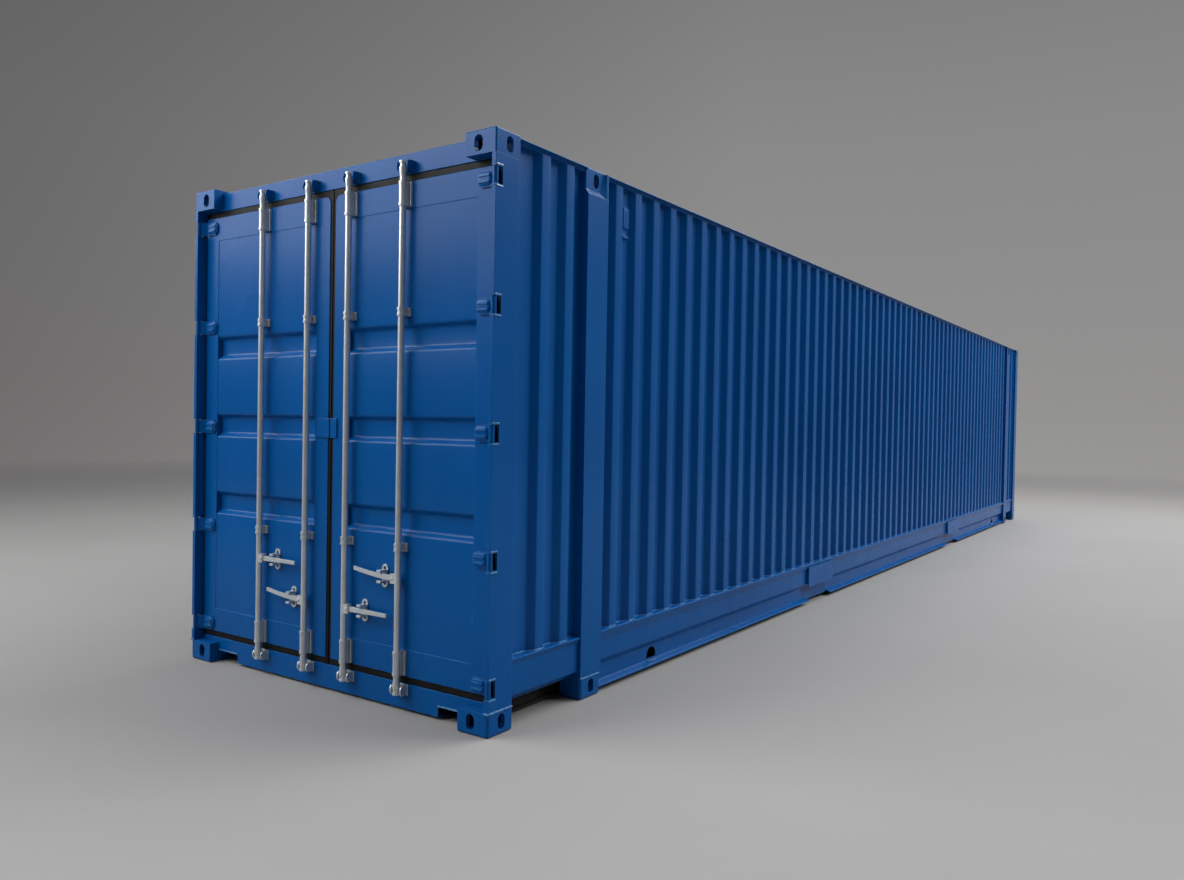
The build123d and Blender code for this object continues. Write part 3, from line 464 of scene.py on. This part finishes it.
def section(node, y, inside=lambda x, z: True):
    """The outline of a node's flat end at y, as a loop of (x, z) corners."""
    mesh = nodes[node].data
    uses = {}
    for polygon in mesh.polygons:
        corners = [mesh.vertices[i].co for i in polygon.vertices]
        if all(abs(co.y - y) < SAME_PLACE and inside(co.x, co.z) for co in corners):
            keys = [(round(co.x, 5), round(co.z, 5)) for co in corners]
            for a, b in zip(keys, keys[1:] + keys[:1]):
                edge = frozenset((a, b))
                uses[edge] = uses.get(edge, 0) + 1
    ways = {}
    for edge, count in uses.items():
        if count == 1:
            a, b = edge
            ways.setdefault(a, []).append(b)
            ways.setdefault(b, []).append(a)
    loop = [min(ways)]
    while True:
        onward = [corner for corner in ways[loop[-1]] if corner not in loop]
        if not onward:
            return loop
        loop.append(onward[0])


def rounded_loop(loop, radius):
    """A closed loop with each corner turned into a short curve."""
    return rounded(loop[-1:] + loop + loop[:1], radius)[1:-1]


def above(loop, level):
    """The part of an (x, z) loop above a level."""
    kept = []
    for a, b in zip(loop, loop[1:] + loop[:1]):
        if a[1] >= level:
            kept.append(a)
        if (a[1] - level) * (b[1] - level) < 0:
            t = (level - a[1]) / (b[1] - a[1])
            kept.append((a[0] + t * (b[0] - a[0]), level))
    return kept


def outward(corners, faces):
    """The same closed mesh with its faces turned outwards."""
    volume = 0.0
    for face in faces:
        first = Vector(corners[face[0]])
        for b, c in zip(face[1:], face[2:]):
            volume += first.dot(Vector(corners[b]).cross(Vector(corners[c])))
    return corners, faces if volume > 0 else [tuple(face[::-1]) for face in faces]


def swept(loop, y0, y1, hole=None, wall=None):
    """A loop of (x, z) corners carried along Y; a hole of (y, z) corners goes through the flat at wall."""
    count = len(loop)
    corners = [(x, y, z) for y in (y0, y1) for x, z in loop]
    faces = [tuple(range(count)), tuple(range(2 * count - 1, count - 1, -1))]
    rims = []
    for i in range(count):
        k = (i + 1) % count
        (xa, za), (xb, zb) = loop[i], loop[k]
        upright = abs(xa - xb) < SAME_PLACE and abs(za - zb) > WEB_LEAST
        if not (hole and upright and abs(xa - wall) < WEB_ROOM):
            faces.append((i, i + count, k + count, k))
            continue
        frame_corners = [(y0, za), (y1, za), (y1, zb), (y0, zb)]
        start = len(corners)
        corners += [(xa, y, z) for y, z in frame_corners + hole]
        rims.append(start + len(frame_corners))
        rings = [[Vector((y, z, 0)) for y, z in ring] for ring in (frame_corners, hole)]
        turn = 1 if (zb - za) > 0 else -1
        for triangle in tessellate_polygon(rings):
            a, b, c = (Vector(corners[start + j]) for j in triangle)
            facing = (b - a).cross(c - a).x
            faces.append(tuple(start + j for j in (triangle if facing * turn > 0 else triangle[::-1])))
    if rims:
        first, second = rims
        for j in range(len(hole)):
            k = (j + 1) % len(hole)
            faces.append((first + j, first + k, second + k, second + j))
    return corners, faces


def bead(path, radius, step):
    """A weld bead along a path of points, with a slight ripple."""
    points = [Vector(path[0])]
    for a, b in zip(path, path[1:]):
        a, b = Vector(a), Vector(b)
        count = max(1, round((b - a).length / step))
        points += [a.lerp(b, (i + 1) / count) for i in range(count)]
    corners, faces = [], []
    sides = WELD_SIDES
    for i, point in enumerate(points):
        ahead = points[min(i + 1, len(points) - 1)] - points[max(i - 1, 0)]
        across = ahead.cross(Vector(WELD_ASIDE)).normalized()
        rise = ahead.cross(across).normalized()
        size = radius * (1 + WELD_RIPPLE * math.sin(WELD_RIPPLE_TURN * i))
        for k in range(sides):
            angle = 2 * math.pi * k / sides
            corners.append(point + across * size * math.cos(angle) + rise * size * math.sin(angle))
    for i in range(len(points) - 1):
        for k in range(sides):
            a, b = i * sides + k, i * sides + (k + 1) % sides
            faces.append((a, b, b + sides, a + sides))
    last = (len(points) - 1) * sides
    faces += [tuple(range(sides - 1, -1, -1)), tuple(range(last, last + sides))]
    return outward(corners, faces)


def dome(place, axis, sign, radius, rise):
    """A rivet head on a face whose normal is along an axis."""
    sides, rings = 12, 3
    corners, faces = [], []
    for ring in range(rings):
        tilt = math.pi / 2 * ring / rings
        for k in range(sides):
            angle = 2 * math.pi * k / sides
            flat = [radius * math.cos(tilt) * math.cos(angle), radius * math.cos(tilt) * math.sin(angle)]
            offset = flat[:axis] + [sign * rise * math.sin(tilt)] + flat[axis:]
            corners.append(Vector(place) + Vector(offset))
    top = [0.0, 0.0, 0.0]
    top[axis] = sign * rise
    corners.append(Vector(place) + Vector(top))
    for ring in range(rings - 1):
        for k in range(sides):
            a, b = ring * sides + k, ring * sides + (k + 1) % sides
            faces.append((a, b, b + sides, a + sides))
    start = (rings - 1) * sides
    for k in range(sides):
        faces.append((start + k, start + (k + 1) % sides, rings * sides))
    faces.append(tuple(range(sides - 1, -1, -1)))
    return outward(corners, faces)


def board(x0, x1, y0, y1, z0, z1, edge):
    """A plank with its upper edges eased."""
    corners = [(x, y, z0) for x, y in ((x0, y0), (x1, y0), (x1, y1), (x0, y1))]
    corners += [(x, y, z1 - edge) for x, y in ((x0, y0), (x1, y0), (x1, y1), (x0, y1))]
    a0, a1, b0, b1 = x0 + edge, x1 - edge, y0 + edge, y1 - edge
    corners += [(x, y, z1) for x, y in ((a0, b0), (a1, b0), (a1, b1), (a0, b1))]
    faces = [(3, 2, 1, 0), (8, 9, 10, 11)]
    for start in (0, 4):
        for k in range(4):
            n = (k + 1) % 4
            faces.append((start + k, start + n, start + n + 4, start + k + 4))
    return corners, faces


def soften(piece, width, steps=2):
    """Round the edges of a piece with a CAD node's mesh and shade it."""
    join = piece.modifiers.new("join", "WELD")
    join.merge_threshold = JOIN_REACH
    flat = piece.modifiers.new("flat", "DECIMATE")
    flat.decimate_type = "DISSOLVE"
    flat.angle_limit = math.radians(FLAT_ANGLE)
    round_edges(piece, width, steps)
    shade = piece.modifiers.new("shade", "WEIGHTED_NORMAL")
    shade.keep_sharp = True


def round_edges(piece, width, steps):
    """Round the sharp edges of a piece."""
    bevel = piece.modifiers.new("edges", "BEVEL")
    bevel.width = width
    bevel.segments = steps
    bevel.limit_method = "ANGLE"
    bevel.angle_limit = math.radians(SHARP_ANGLE)


# Corrugated walls, roof and door sheets, with rounded bends

for side_name, face in (("right", 1), ("left", -1)):
    wall = f"side_wall_{side_name}"
    low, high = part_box(wall)
    line = rounded(fold_line(wall, Y, X, face), BEND_RADIUS)
    sheet = pressed_sheet(line, Y, X, face, low.z, high.z)
    add_piece(f"{wall}_sheet", *sheet, "container", "blue_paint", [wall])

low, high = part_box("end_bay_walls")
bays = []
for side in (1, -1):
    for end in (1, -1):
        line = fold_line("end_bay_walls", Y, X, side, lambda co: co.x * side > 0 and co.y * end > 0)
        bays.append(pressed_sheet(rounded(line, BEND_RADIUS), Y, X, side, low.z, high.z))
add_piece("end_bay_sheets", *gather(bays), "container", "blue_paint", ["end_bay_walls"])

low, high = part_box("front_wall")
line = rounded(fold_line("front_wall", X, Y, 1), BEND_RADIUS)
sheet = pressed_sheet(line, X, Y, 1, low.z, high.z)
add_piece("front_wall_sheet", *sheet, "container", "blue_paint", ["front_wall"])

low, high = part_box("roof_sheet")
line = rounded(fold_line("roof_sheet", Y, Z, 1), BEND_RADIUS)
sheet = pressed_sheet(line, Y, Z, 1, low.x, high.x)
add_piece("roof_sheet_pressed", *sheet, "container", "blue_paint", ["roof_sheet"])

for side_name in ("right", "left"):
    panel = f"door_panel_{side_name}"
    low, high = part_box(panel)
    line = rounded(fold_line(panel, Z, Y, -1), CHANNEL_BEND)
    sheet = pressed_sheet(line, Z, Y, -1, low.x, high.x)
    add_piece(f"{panel}_sheet", *sheet, f"{side_name}_door", "blue_paint", [panel])


# Bottom rails with their bend radii, grapple recesses and drain holes

drains = []
for side_name in ("right", "left"):
    rail = f"bottom_rail_{side_name}"
    low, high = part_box(rail)
    loop = section(rail, low.y)
    recess = [(x, z if z > LEDGE_TOP + CLOSE else low.z + RECESS_LIFT) for x, z in above(loop, LEDGE_TOP)]
    ledgeless = rounded_loop(recess, RAIL_BEND)
    lowered = [(x, z - LEDGE_DROP if abs(z - LEDGE_TOP) < LEDGE_ROOM else z) for x, z in loop]
    whole = rounded_loop(lowered, RAIL_BEND)
    places = [vertex.co for vertex in nodes[rail].data.vertices]
    ends = sorted({round(co.y, 4) for co in places if co.z < low.z + CLOSE})
    on_web = [co for co in places if LEDGE_TOP + CLOSE < co.z < WEB_TOP and abs(co.y) < high.y - CLOSE]
    wall = max(co.x for co in on_web) if side_name == "right" else min(co.x for co in on_web)
    lengths = []
    for a, b, profile in zip(ends, ends[1:], (whole, ledgeless, whole, ledgeless, whole)):
        arch = sorted({(round(co.y, 5), round(co.z, 5)) for co in on_web if a < co.y < b})
        if not arch:
            lengths.append(swept(profile, a, b))
            continue
        arch[0] = (arch[0][0], ARCH_LOW)
        arch[-1] = (arch[-1][0], ARCH_LOW)
        start, end = arch[0][0] - DRAIN_ROOM, arch[-1][0] + DRAIN_ROOM
        drains.append([(wall, y) for y in (arch[0][0], arch[-1][0])])
        lengths += [
            swept(profile, a, start), swept(profile, start, end, arch[::-1], wall), swept(profile, end, b),
        ]
    corners, faces = gather(outward(*length) for length in lengths)
    add_piece(f"{rail}_pressed", corners, faces, "container", "blue_paint", [rail])

low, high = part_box("end_bay_rails")
wall_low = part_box("side_wall_right")[0]
inner_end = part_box("intermediate_posts")[1].y
lengths = []
for side in (1, -1):
    loop = rounded_loop(section("end_bay_rails", -inner_end, lambda x, z: x * side > 0), RAIL_BEND)
    for y0, y1 in ((low.y, -inner_end), (inner_end, high.y)):
        lengths.append(outward(*swept(loop, y0, y1)))
add_piece("end_bay_rails_pressed", *gather(lengths), "container", "blue_paint", ["end_bay_rails"])


# Door sill with its cut-outs carried further from the castings

mesh = nodes["door_sill"].data
sill_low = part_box("door_sill")[0]
solid_cut = max(vertex.co.x for vertex in mesh.vertices if vertex.co.z < sill_low.z + CLOSE)
sill_cut = solid_cut - SILL_CUT_MORE
corners = [vertex.co.copy() for vertex in mesh.vertices]
for corner in corners:
    if abs(abs(corner.x) - solid_cut) < SILL_CUT_ROOM:
        corner.x = math.copysign(sill_cut, corner.x)
faces = [tuple(polygon.vertices) for polygon in mesh.polygons]
sill = add_piece("door_sill_pressed", corners, faces, "container", "blue_paint", ["door_sill"])
soften(sill, EDGE_PLATE)


# Weld beads at the castings, hinges, sill and sheets

def post_weld(x, y0, y1, z):
    """A bead round a post's outer corner at y0 where it stands on its casting."""
    inner = math.copysign(abs(x) - POST_FACE, x)
    return bead([(x, y1, z), (x, y0, z), (inner, y0, z)], CASTING_WELD, WELD_STEP)


beads = []
rear_low, rear_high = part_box("rear_post_right")
front_low, front_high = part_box("front_posts")
casting_end = -inner_end + rear_high.y - rear_low.y
lug_places = [vertex.co for vertex in nodes["hinge_lugs"].data.vertices]
lug_levels = sorted({round(co.z, 4) for co in lug_places})
lug_end = max(co.y for co in lug_places if co.x > rear_high.x - CLOSE)
for side in (1, -1):
    x = side * rear_high.x
    beads.append(post_weld(x, rear_low.y, rear_high.y, rear_low.z))
    beads.append(post_weld(x, front_high.y, front_low.y, rear_low.z))
    cut_ends = (side * sill_cut, x - side * CASTING_WIDTH)
    beads.append(bead([(place, sill_low.y, SILL_CUT_TOP) for place in cut_ends], WELD, WELD_STEP))
    for end in (1, -1):
        casting_ends = (end * inner_end, -end * casting_end)
        beads.append(bead([(x, place, rear_low.z) for place in casting_ends], WELD, WELD_STEP))
    for z in lug_levels[::4] + lug_levels[3::4]:
        beads.append(bead([(x, rear_low.y + LUG_WELD_INSET, z), (x, lug_end, z)], WELD, WELD_STEP))
    lines = [fold_line(f"side_wall_{'right' if side > 0 else 'left'}", Y, X, side)]
    for end in (1, -1):
        lines.append(fold_line("end_bay_walls", Y, X, side, lambda co: co.x * side > 0 and co.y * end > 0))
    for line in lines:
        path = [(level + side * SHEET_WELD_OUT, place, wall_low.z) for place, level in line]
        beads.append(bead(path, WELD, LONG_WELD_STEP))
for (x, y0), (_, y1) in drains:
    lip = []
    for step in range(DRAIN_LIP_STEPS + 1):
        turn = math.pi * step / DRAIN_LIP_STEPS
        out = math.copysign(abs(x) + DRAIN_LIP * math.sin(turn), x)
        lip.append((out, (y0 + y1) / 2 - (y1 - y0) / 2 * math.cos(turn), LEDGE_TOP - LEDGE_DROP))
    beads.append(bead(lip, WELD, WELD_STEP))
welds = add_piece("weld_beads", *gather(beads), "container", "blue_paint")
# The beads take the lighter weld colour, a painted highlight
welds.data.materials[0] = weld_highlight_paint()


# Painted shade inside the castings as dark plates, and hooded ventilators

def shade_plates_in_casting(x, y, width, top):
    """Dark plates of painted shade on the three closed sides inside a casting whose outer corner is at (x,
    y).
    """
    side, end = math.copysign(1, x), math.copysign(1, y)
    xs = [x - side * (width - CASTING_BACK), x - side * CASTING_WALL]
    ys = [y - end * CASTING_WALL, y - end * (CASTING_LENGTH - CASTING_BACK)]
    zs = [CASTING_WALL, CASTING_HEIGHT - CASTING_BACK]
    if top:
        zs = [cad_box[1][Z] - z for z in zs]
    rooms = []
    for place, ends in ((X, xs[::-1]), (Y, ys), (Z, zs)):
        room = [sorted(xs), sorted(ys), sorted(zs)]
        inward = math.copysign(SHADE_PLATE, ends[0] - ends[1])
        room[place] = sorted((ends[1], ends[1] + inward))
        rooms.append(board(*room[X], *room[Y], *room[Z], SHADE_PLATE_EDGE))
    return rooms


shade_plates = []
for side in (1, -1):
    for end in (1, -1):
        for top in (False, True):
            shade_plates += shade_plates_in_casting(side * rear_high.x, end * front_high.y, CASTING_WIDTH, top)
            inset = TOP_RECESS if top else 0.0
            shade_plates += shade_plates_in_casting(side * (rear_high.x - inset), end * inner_end, INNER_CASTING_WIDTH, top)
# Dark underseal plates stand in for the shade inside the castings' hollows: painted shade
add_piece("casting_painted_shade", *gather(shade_plates), "container", "underseal")

low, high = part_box("ventilators")
hoods = []
for side in (1, -1):
    wall = high.x - VENT_DEPTH
    outline = [(wall + depth, low.z + share * (high.z - low.z)) for depth, share in VENT_OUTLINE]
    loop = [(side * x, z) for x, z in outline]
    hoods.append(outward(*swept(loop, low.y, high.y)))
hood = add_piece("ventilator_hoods", *gather(hoods), "container", "blue_paint", ["ventilators"])
round_edges(hood, VENT_EDGE, 2)


# Cam keepers: a pair of forged ears with round noses on each plate

def ear(x0, x1, front, back, low, high):
    """An upright ear with a round nose, seen from its side."""
    radius = (high - low) / 2
    outline = [(back, low)]
    for step in range(EAR_STEPS + 1):
        turn = math.pi * (step / EAR_STEPS - 0.5)
        outline.append((front + EAR_NOSE * (1 - math.cos(turn)), (low + high) / 2 + radius * math.sin(turn)))
    outline.append((back, high))
    count = len(outline)
    corners = [(x, y, z) for x in (x0, x1) for y, z in outline]
    faces = [tuple(range(count)), tuple(range(2 * count - 1, count - 1, -1))]
    faces += [(i, i + count, (i + 1) % count + count, (i + 1) % count) for i in range(count)]
    return outward(corners, faces)


low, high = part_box("cam_keepers")
outer_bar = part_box("outer_bar_right")
ear_out = high.x - (outer_bar[0].x + outer_bar[1].x) / 2
keeper_rows = (("top", high.z - KEEPER_HEIGHT, "blue_paint"), ("bottom", low.z, "galvanised_steel"))
for level, bottom, slot in keeper_rows:
    top = bottom + KEEPER_HEIGHT
    ears = []
    for bar in ("inner_bar_right", "outer_bar_right", "inner_bar_left", "outer_bar_left"):
        bar_low, bar_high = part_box(bar)
        bar_x = (bar_low.x + bar_high.x) / 2
        for side in (1, -1):
            x0, x1 = sorted((bar_x + side * ear_out, bar_x + side * (ear_out - EAR)))
            ears.append(ear(x0, x1, low.y, high.y, bottom, top))
        x0, x1 = bar_x - ear_out, bar_x + ear_out
        plate = ((x0, bottom), (x1, bottom), (x1, top), (x0, top))
        corners = [(x, y, z) for y in (high.y - KEEPER_PLATE, high.y) for x, z in plate]
        sides = [(k, (k + 1) % 4, (k + 1) % 4 + 4, k + 4) for k in range(4)]
        ears.append(outward(corners, [(0, 1, 2, 3), (7, 6, 5, 4)] + sides))
    replaced = ["cam_keepers"] if level == "top" else []
    keepers = add_piece(f"cam_keepers_{level}", *gather(ears), "container", slot, replaced)
    round_edges(keepers, EAR_EDGE, 3)


# Ribbed bosses on the hinge blades

def boss_fall(place):
    """The share of a boss's rise at a place from -1 to 1 across it: flat, and round at the edges."""
    return math.sqrt(max(0.0, 1 - place ** BOSS_FLATNESS))


def boss(x0, x1, z0, z1, seat, rise):
    """A cushion with rounded corners on a face that looks towards -Y at seat."""
    spread = [-math.cos(math.pi * step / BOSS_STEPS) for step in range(BOSS_STEPS + 1)]
    width = BOSS_STEPS + 1
    corners, faces = [], []
    for v in spread:
        for u in spread:
            out = rise * boss_fall(u) * boss_fall(v)
            x = u * math.sqrt(1 - BOSS_ROUND * v * v)
            z = v * math.sqrt(1 - BOSS_ROUND * u * u)
            x = (x0 + x1) / 2 + x * (x1 - x0) / 2
            z = (z0 + z1) / 2 + z * (z1 - z0) / 2
            corners.append((x, seat - out, z))
    for row in range(BOSS_STEPS):
        for place in range(BOSS_STEPS):
            a = row * width + place
            faces.append((a, a + 1, a + 1 + width, a + width))
    rim = list(range(width)) + [row * width + BOSS_STEPS for row in range(1, width)]
    rim += [BOSS_STEPS * width + place for place in range(BOSS_STEPS - 1, -1, -1)]
    rim += [row * width for row in range(BOSS_STEPS - 1, 0, -1)]
    faces.append(tuple(rim[::-1]))
    return outward(corners, faces)


for side_name, side in (("right", 1), ("left", -1)):
    blades = f"hinge_blades_{side_name}"
    door_low, door_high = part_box(f"door_frame_{side_name}")
    blade_low, blade_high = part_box(blades)
    free_end = blade_low.x if side > 0 else blade_high.x
    hinge_edge = door_high.x if side > 0 else door_low.x
    x0, x1 = sorted((free_end + side * BOSS_EDGE, hinge_edge - side * BOSS_ARM))
    tops = sorted({round(vertex.co.z, 4) for vertex in nodes[blades].data.vertices})
    tops = [z for z in tops if round(z - BLADE_HEIGHT, 4) in tops]
    seat = door_low.y - BLADE_PLATE
    bosses = [boss(x0, x1, z - BLADE_HEIGHT + BOSS_EDGE, z - BOSS_EDGE, seat, BOSS_RISE) for z in tops]
    for z in tops:
        for share in RIB_LEVELS:
            level = z - BLADE_HEIGHT * (1 - share)
            rib = [(x, seat - BOSS_RISE, level) for x in (x0 + RIB_INSET, x1 - RIB_INSET)]
            bosses.append(bead(rib, RIB, RIB_STEP))
    add_piece(f"hinge_bosses_{side_name}", *gather(bosses), f"{side_name}_door", "blue_paint")


# Rivets of the door gear, and the pivot of each handle

for side_name, side in (("right", 1), ("left", -1)):
    door_low, door_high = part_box(f"door_frame_{side_name}")
    heads = []
    for bar in ("inner", "outer"):
        bar_low, bar_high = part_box(f"{bar}_bar_{side_name}")
        bar_x = (bar_low.x + bar_high.x) / 2
        for middle in (door_low.z + FOOT_MIDDLE, door_high.z - FOOT_MIDDLE):
            for dx in (-FOOT_RIVET_X, FOOT_RIVET_X):
                for dz in (-FOOT_RIVET_Z, FOOT_RIVET_Z):
                    place = (bar_x + dx, door_low.y - FOOT_PLATE, middle + dz)
                    heads.append(dome(place, Y, -1, FOOT_RIVET, FOOT_RIVET / 2))
        handle_low, handle_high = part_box(f"{bar}_handle_{side_name}")
        reach = 1 if abs(handle_high.x - bar_x) > abs(handle_low.x - bar_x) else -1
        pivot = (bar_x + reach * PIVOT_REACH, handle_low.y, handle_low.z + PIVOT_RISE)
        head = dome(pivot, Y, -1, PIVOT, PIVOT / 2)
        name = f"{bar}_handle_{side_name}_pivot"
        add_piece(name, *head, f"{side_name}_{bar}_lock_bar", "galvanised_steel")
    add_piece(f"bracket_rivets_{side_name}", *gather(heads), f"{side_name}_door", "galvanised_steel")
    plate_low, plate_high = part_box(f"seam_plate_{side_name}")
    heads = []
    for x in (plate_low.x + PLATE_RIVET_INSET, plate_high.x - PLATE_RIVET_INSET):
        for z in (plate_low.z + PLATE_RIVET_INSET, plate_high.z - PLATE_RIVET_INSET):
            heads.append(dome((x, plate_low.y, z), Y, -1, RIVET, RIVET / 2))
    add_piece(f"seam_rivets_{side_name}", *gather(heads), f"{side_name}_door", "blue_paint")


# Floor boards in two rows beside a steel strip, screwed to the cross members

low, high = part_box("floor_boards")
count = math.ceil((high.y - low.y) / BOARD_LENGTH)
length = (high.y - low.y) / count
half = STEEL_STRIP / 2
boards = []
screws = []
for i in range(count):
    y0 = low.y + i * length + BOARD_GAP / 2
    y1 = low.y + (i + 1) * length - BOARD_GAP / 2
    for x0, x1 in ((low.x, -half), (half, high.x)):
        boards.append(board(x0, x1, y0, y1, low.z, high.z, BOARD_EDGE))
rows = int((high.y - low.y) // SCREW_SPACING)
for i in range(rows):
    y = low.y + (i + 0.5) * (high.y - low.y) / rows
    for x in SCREW_PLACES:
        for side in (1, -1):
            screws.append(dome((side * x, y, high.z - SCREW_SINK), Z, 1, SCREW, SCREW_RISE))
add_piece("floor_planks", *gather(boards), "container", "plywood", ["floor_boards"])
strip = board(-half, half, low.y, high.y, high.z - STRIP_DEPTH, high.z, BOARD_EDGE / 2)
add_piece("floor_strip", *strip, "container", "galvanised_steel")
add_piece("floor_screws", *gather(screws), "container", "galvanised_steel")


# Finish of the CAD nodes

GALVANISED = ("bar_brackets", "handle_catches", "inner_bar", "outer_bar", "inner_handle", "outer_handle")
EDGES = {"corner_castings": EDGE_CASTING, "intermediate_castings": EDGE_CASTING}
for side_name in ("right", "left"):
    EDGES[f"door_gasket_{side_name}"] = EDGE_RUBBER
    EDGES[f"hinge_blades_{side_name}"] = EDGE_BLADE


def slot_of(name):
    """The record's material slot of a CAD node."""
    if name.startswith(GALVANISED):
        return "galvanised_steel"
    if name.startswith("door_gasket"):
        return "rubber"
    if name == "floor_boards":
        return "plywood"
    if name in ("cross_members", "end_bay_beams"):
        return "underseal"
    return "blue_paint"


for name, piece in nodes.items():
    piece.data.materials.clear()
    piece.data.materials.append(MATERIALS[slot_of(name)])
    fine = slot_of(name) == "galvanised_steel"
    soften(piece, EDGES.get(name, EDGE_FINE if fine else EDGE_PLATE))


# Studio

def stage_material():
    """Pale matte floor that fades out far away."""
    material, tree, shader = new_material("studio_floor")
    tone = ramp(tree, noise(tree, 0.4, 4), [(0.3, (0.305, 0.300, 0.295)), (0.7, (0.322, 0.317, 0.312))])
    tree.links.new(tone, shader.inputs["Base Color"])
    shader.inputs["Roughness"].default_value = 0.75
    shader.inputs["Specular IOR Level"].default_value = 0.2
    distance = tree.nodes.new("ShaderNodeVectorMath")
    distance.operation = "LENGTH"
    tree.links.new(coordinates(tree), distance.inputs[0])
    tree.links.new(remap(tree, distance.outputs["Value"], 1.0, 0.0, (10.0, 28.0)), shader.inputs["Alpha"])
    return material


def add_floor():
    """The plain floor under the container."""
    size = FLOOR_SIZE
    mesh = bpy.data.meshes.new("studio_floor")
    corners = [(-size, -size, 0), (size, -size, 0), (size, size, 0), (-size, size, 0)]
    mesh.from_pydata(corners, [], [(0, 1, 2, 3)])
    mesh.materials.append(stage_material())
    floor = bpy.data.objects.new("studio_floor", mesh)
    bpy.context.scene.collection.objects.link(floor)


def add_light(name, place, target, width, height, watts):
    """A soft box that shines from a place at a target."""
    lamp = bpy.data.lights.new(name, "AREA")
    lamp.shape = "RECTANGLE"
    lamp.size = width
    lamp.size_y = height
    lamp.energy = watts
    holder = bpy.data.objects.new(name, lamp)
    holder.location = place
    holder.rotation_euler = (Vector(target) - Vector(place)).to_track_quat("-Z", "Y").to_euler()
    holder.visible_camera = False
    bpy.context.scene.collection.objects.link(holder)


def add_world():
    """Soft grey surroundings, dimmer to the photo's left and behind its camera."""
    world = bpy.data.worlds.new("studio")
    world.use_nodes = True
    tree = world.node_tree
    background = tree.nodes["Background"]
    place = tree.nodes.new("ShaderNodeTexCoord")
    parts = tree.nodes.new("ShaderNodeSeparateXYZ")
    tree.links.new(place.outputs["Generated"], parts.inputs["Vector"])
    tone = ramp(tree, remap(tree, parts.outputs["Z"], 0.0, 1.0, (-1.0, 1.0)), [
        (0.40, (0.34, 0.336, 0.332)), (0.47, (0.32, 0.316, 0.312)), (0.52, (0.29, 0.286, 0.282)),
        (0.64, (0.255, 0.252, 0.257)), (0.75, (0.19, 0.19, 0.196)), (1.0, (0.24, 0.24, 0.25)),
    ])
    right = (math.cos(CAMERA_YAW), math.sin(CAMERA_YAW), 0.0)
    ahead = (-math.sin(CAMERA_YAW), math.cos(CAMERA_YAW), 0.0)
    dimmed = (
        (right, (-0.62, 0.15), (0.50, 0.49, 0.49)),
        (ahead, (-0.5, 0.4), (0.25, 0.25, 0.26)),
    )
    for direction, reach, dim in dimmed:
        part = tree.nodes.new("ShaderNodeVectorMath")
        part.operation = "DOT_PRODUCT"
        part.inputs[1].default_value = direction
        tree.links.new(place.outputs["Generated"], part.inputs[0])
        shade = ramp(tree, remap(tree, part.outputs["Value"], 0.0, 1.0, reach), [(0, dim), (1, (1, 1, 1))])
        tone = blend(tree, "MULTIPLY", 1.0, tone, shade)
    tree.links.new(tone, background.inputs["Color"])
    bpy.context.scene.world = world


def add_camera():
    """The photo's viewpoint."""
    forward = Vector((
        -math.sin(CAMERA_YAW) * math.cos(CAMERA_PITCH),
        math.cos(CAMERA_YAW) * math.cos(CAMERA_PITCH),
        math.sin(CAMERA_PITCH),
    ))
    level = Vector((math.cos(CAMERA_YAW), math.sin(CAMERA_YAW), 0.0))
    upright = level.cross(forward)
    right = level * math.cos(CAMERA_ROLL) + upright * math.sin(CAMERA_ROLL)
    up = upright * math.cos(CAMERA_ROLL) - level * math.sin(CAMERA_ROLL)
    lens = bpy.data.cameras.new("camera")
    lens.sensor_width = SENSOR_WIDTH
    lens.lens = FOCAL_PIXELS / IMAGE_WIDTH * SENSOR_WIDTH
    lens.clip_end = VIEW_END
    camera = bpy.data.objects.new("camera", lens)
    turn = Matrix((right, up, -forward)).transposed().to_4x4()
    camera.matrix_world = Matrix.Translation(CAMERA_PLACE) @ turn
    bpy.context.scene.collection.objects.link(camera)
    bpy.context.scene.camera = camera


add_floor()
add_world()
add_camera()
add_light("left_front", (-10, -15, 6.4), (0, -6.8, 1.8), 15, 4, 900)
add_light("front_top", (-3, -10, 5.5), (0, -6.8, 2.4), 6, 2, 270)
add_light("right_back", (27, 21, 26), (1.2, 0, 1.4), 30, 16, 12000)
add_light("top_right", (3.5, 8, 13), (1.2, -1, 0), 12, 14, 1700)
add_light("overhead", (3, -5, 13), (3, -5, 0), 14, 22, 850)
bpy.context.scene.view_settings.view_transform = "Standard"
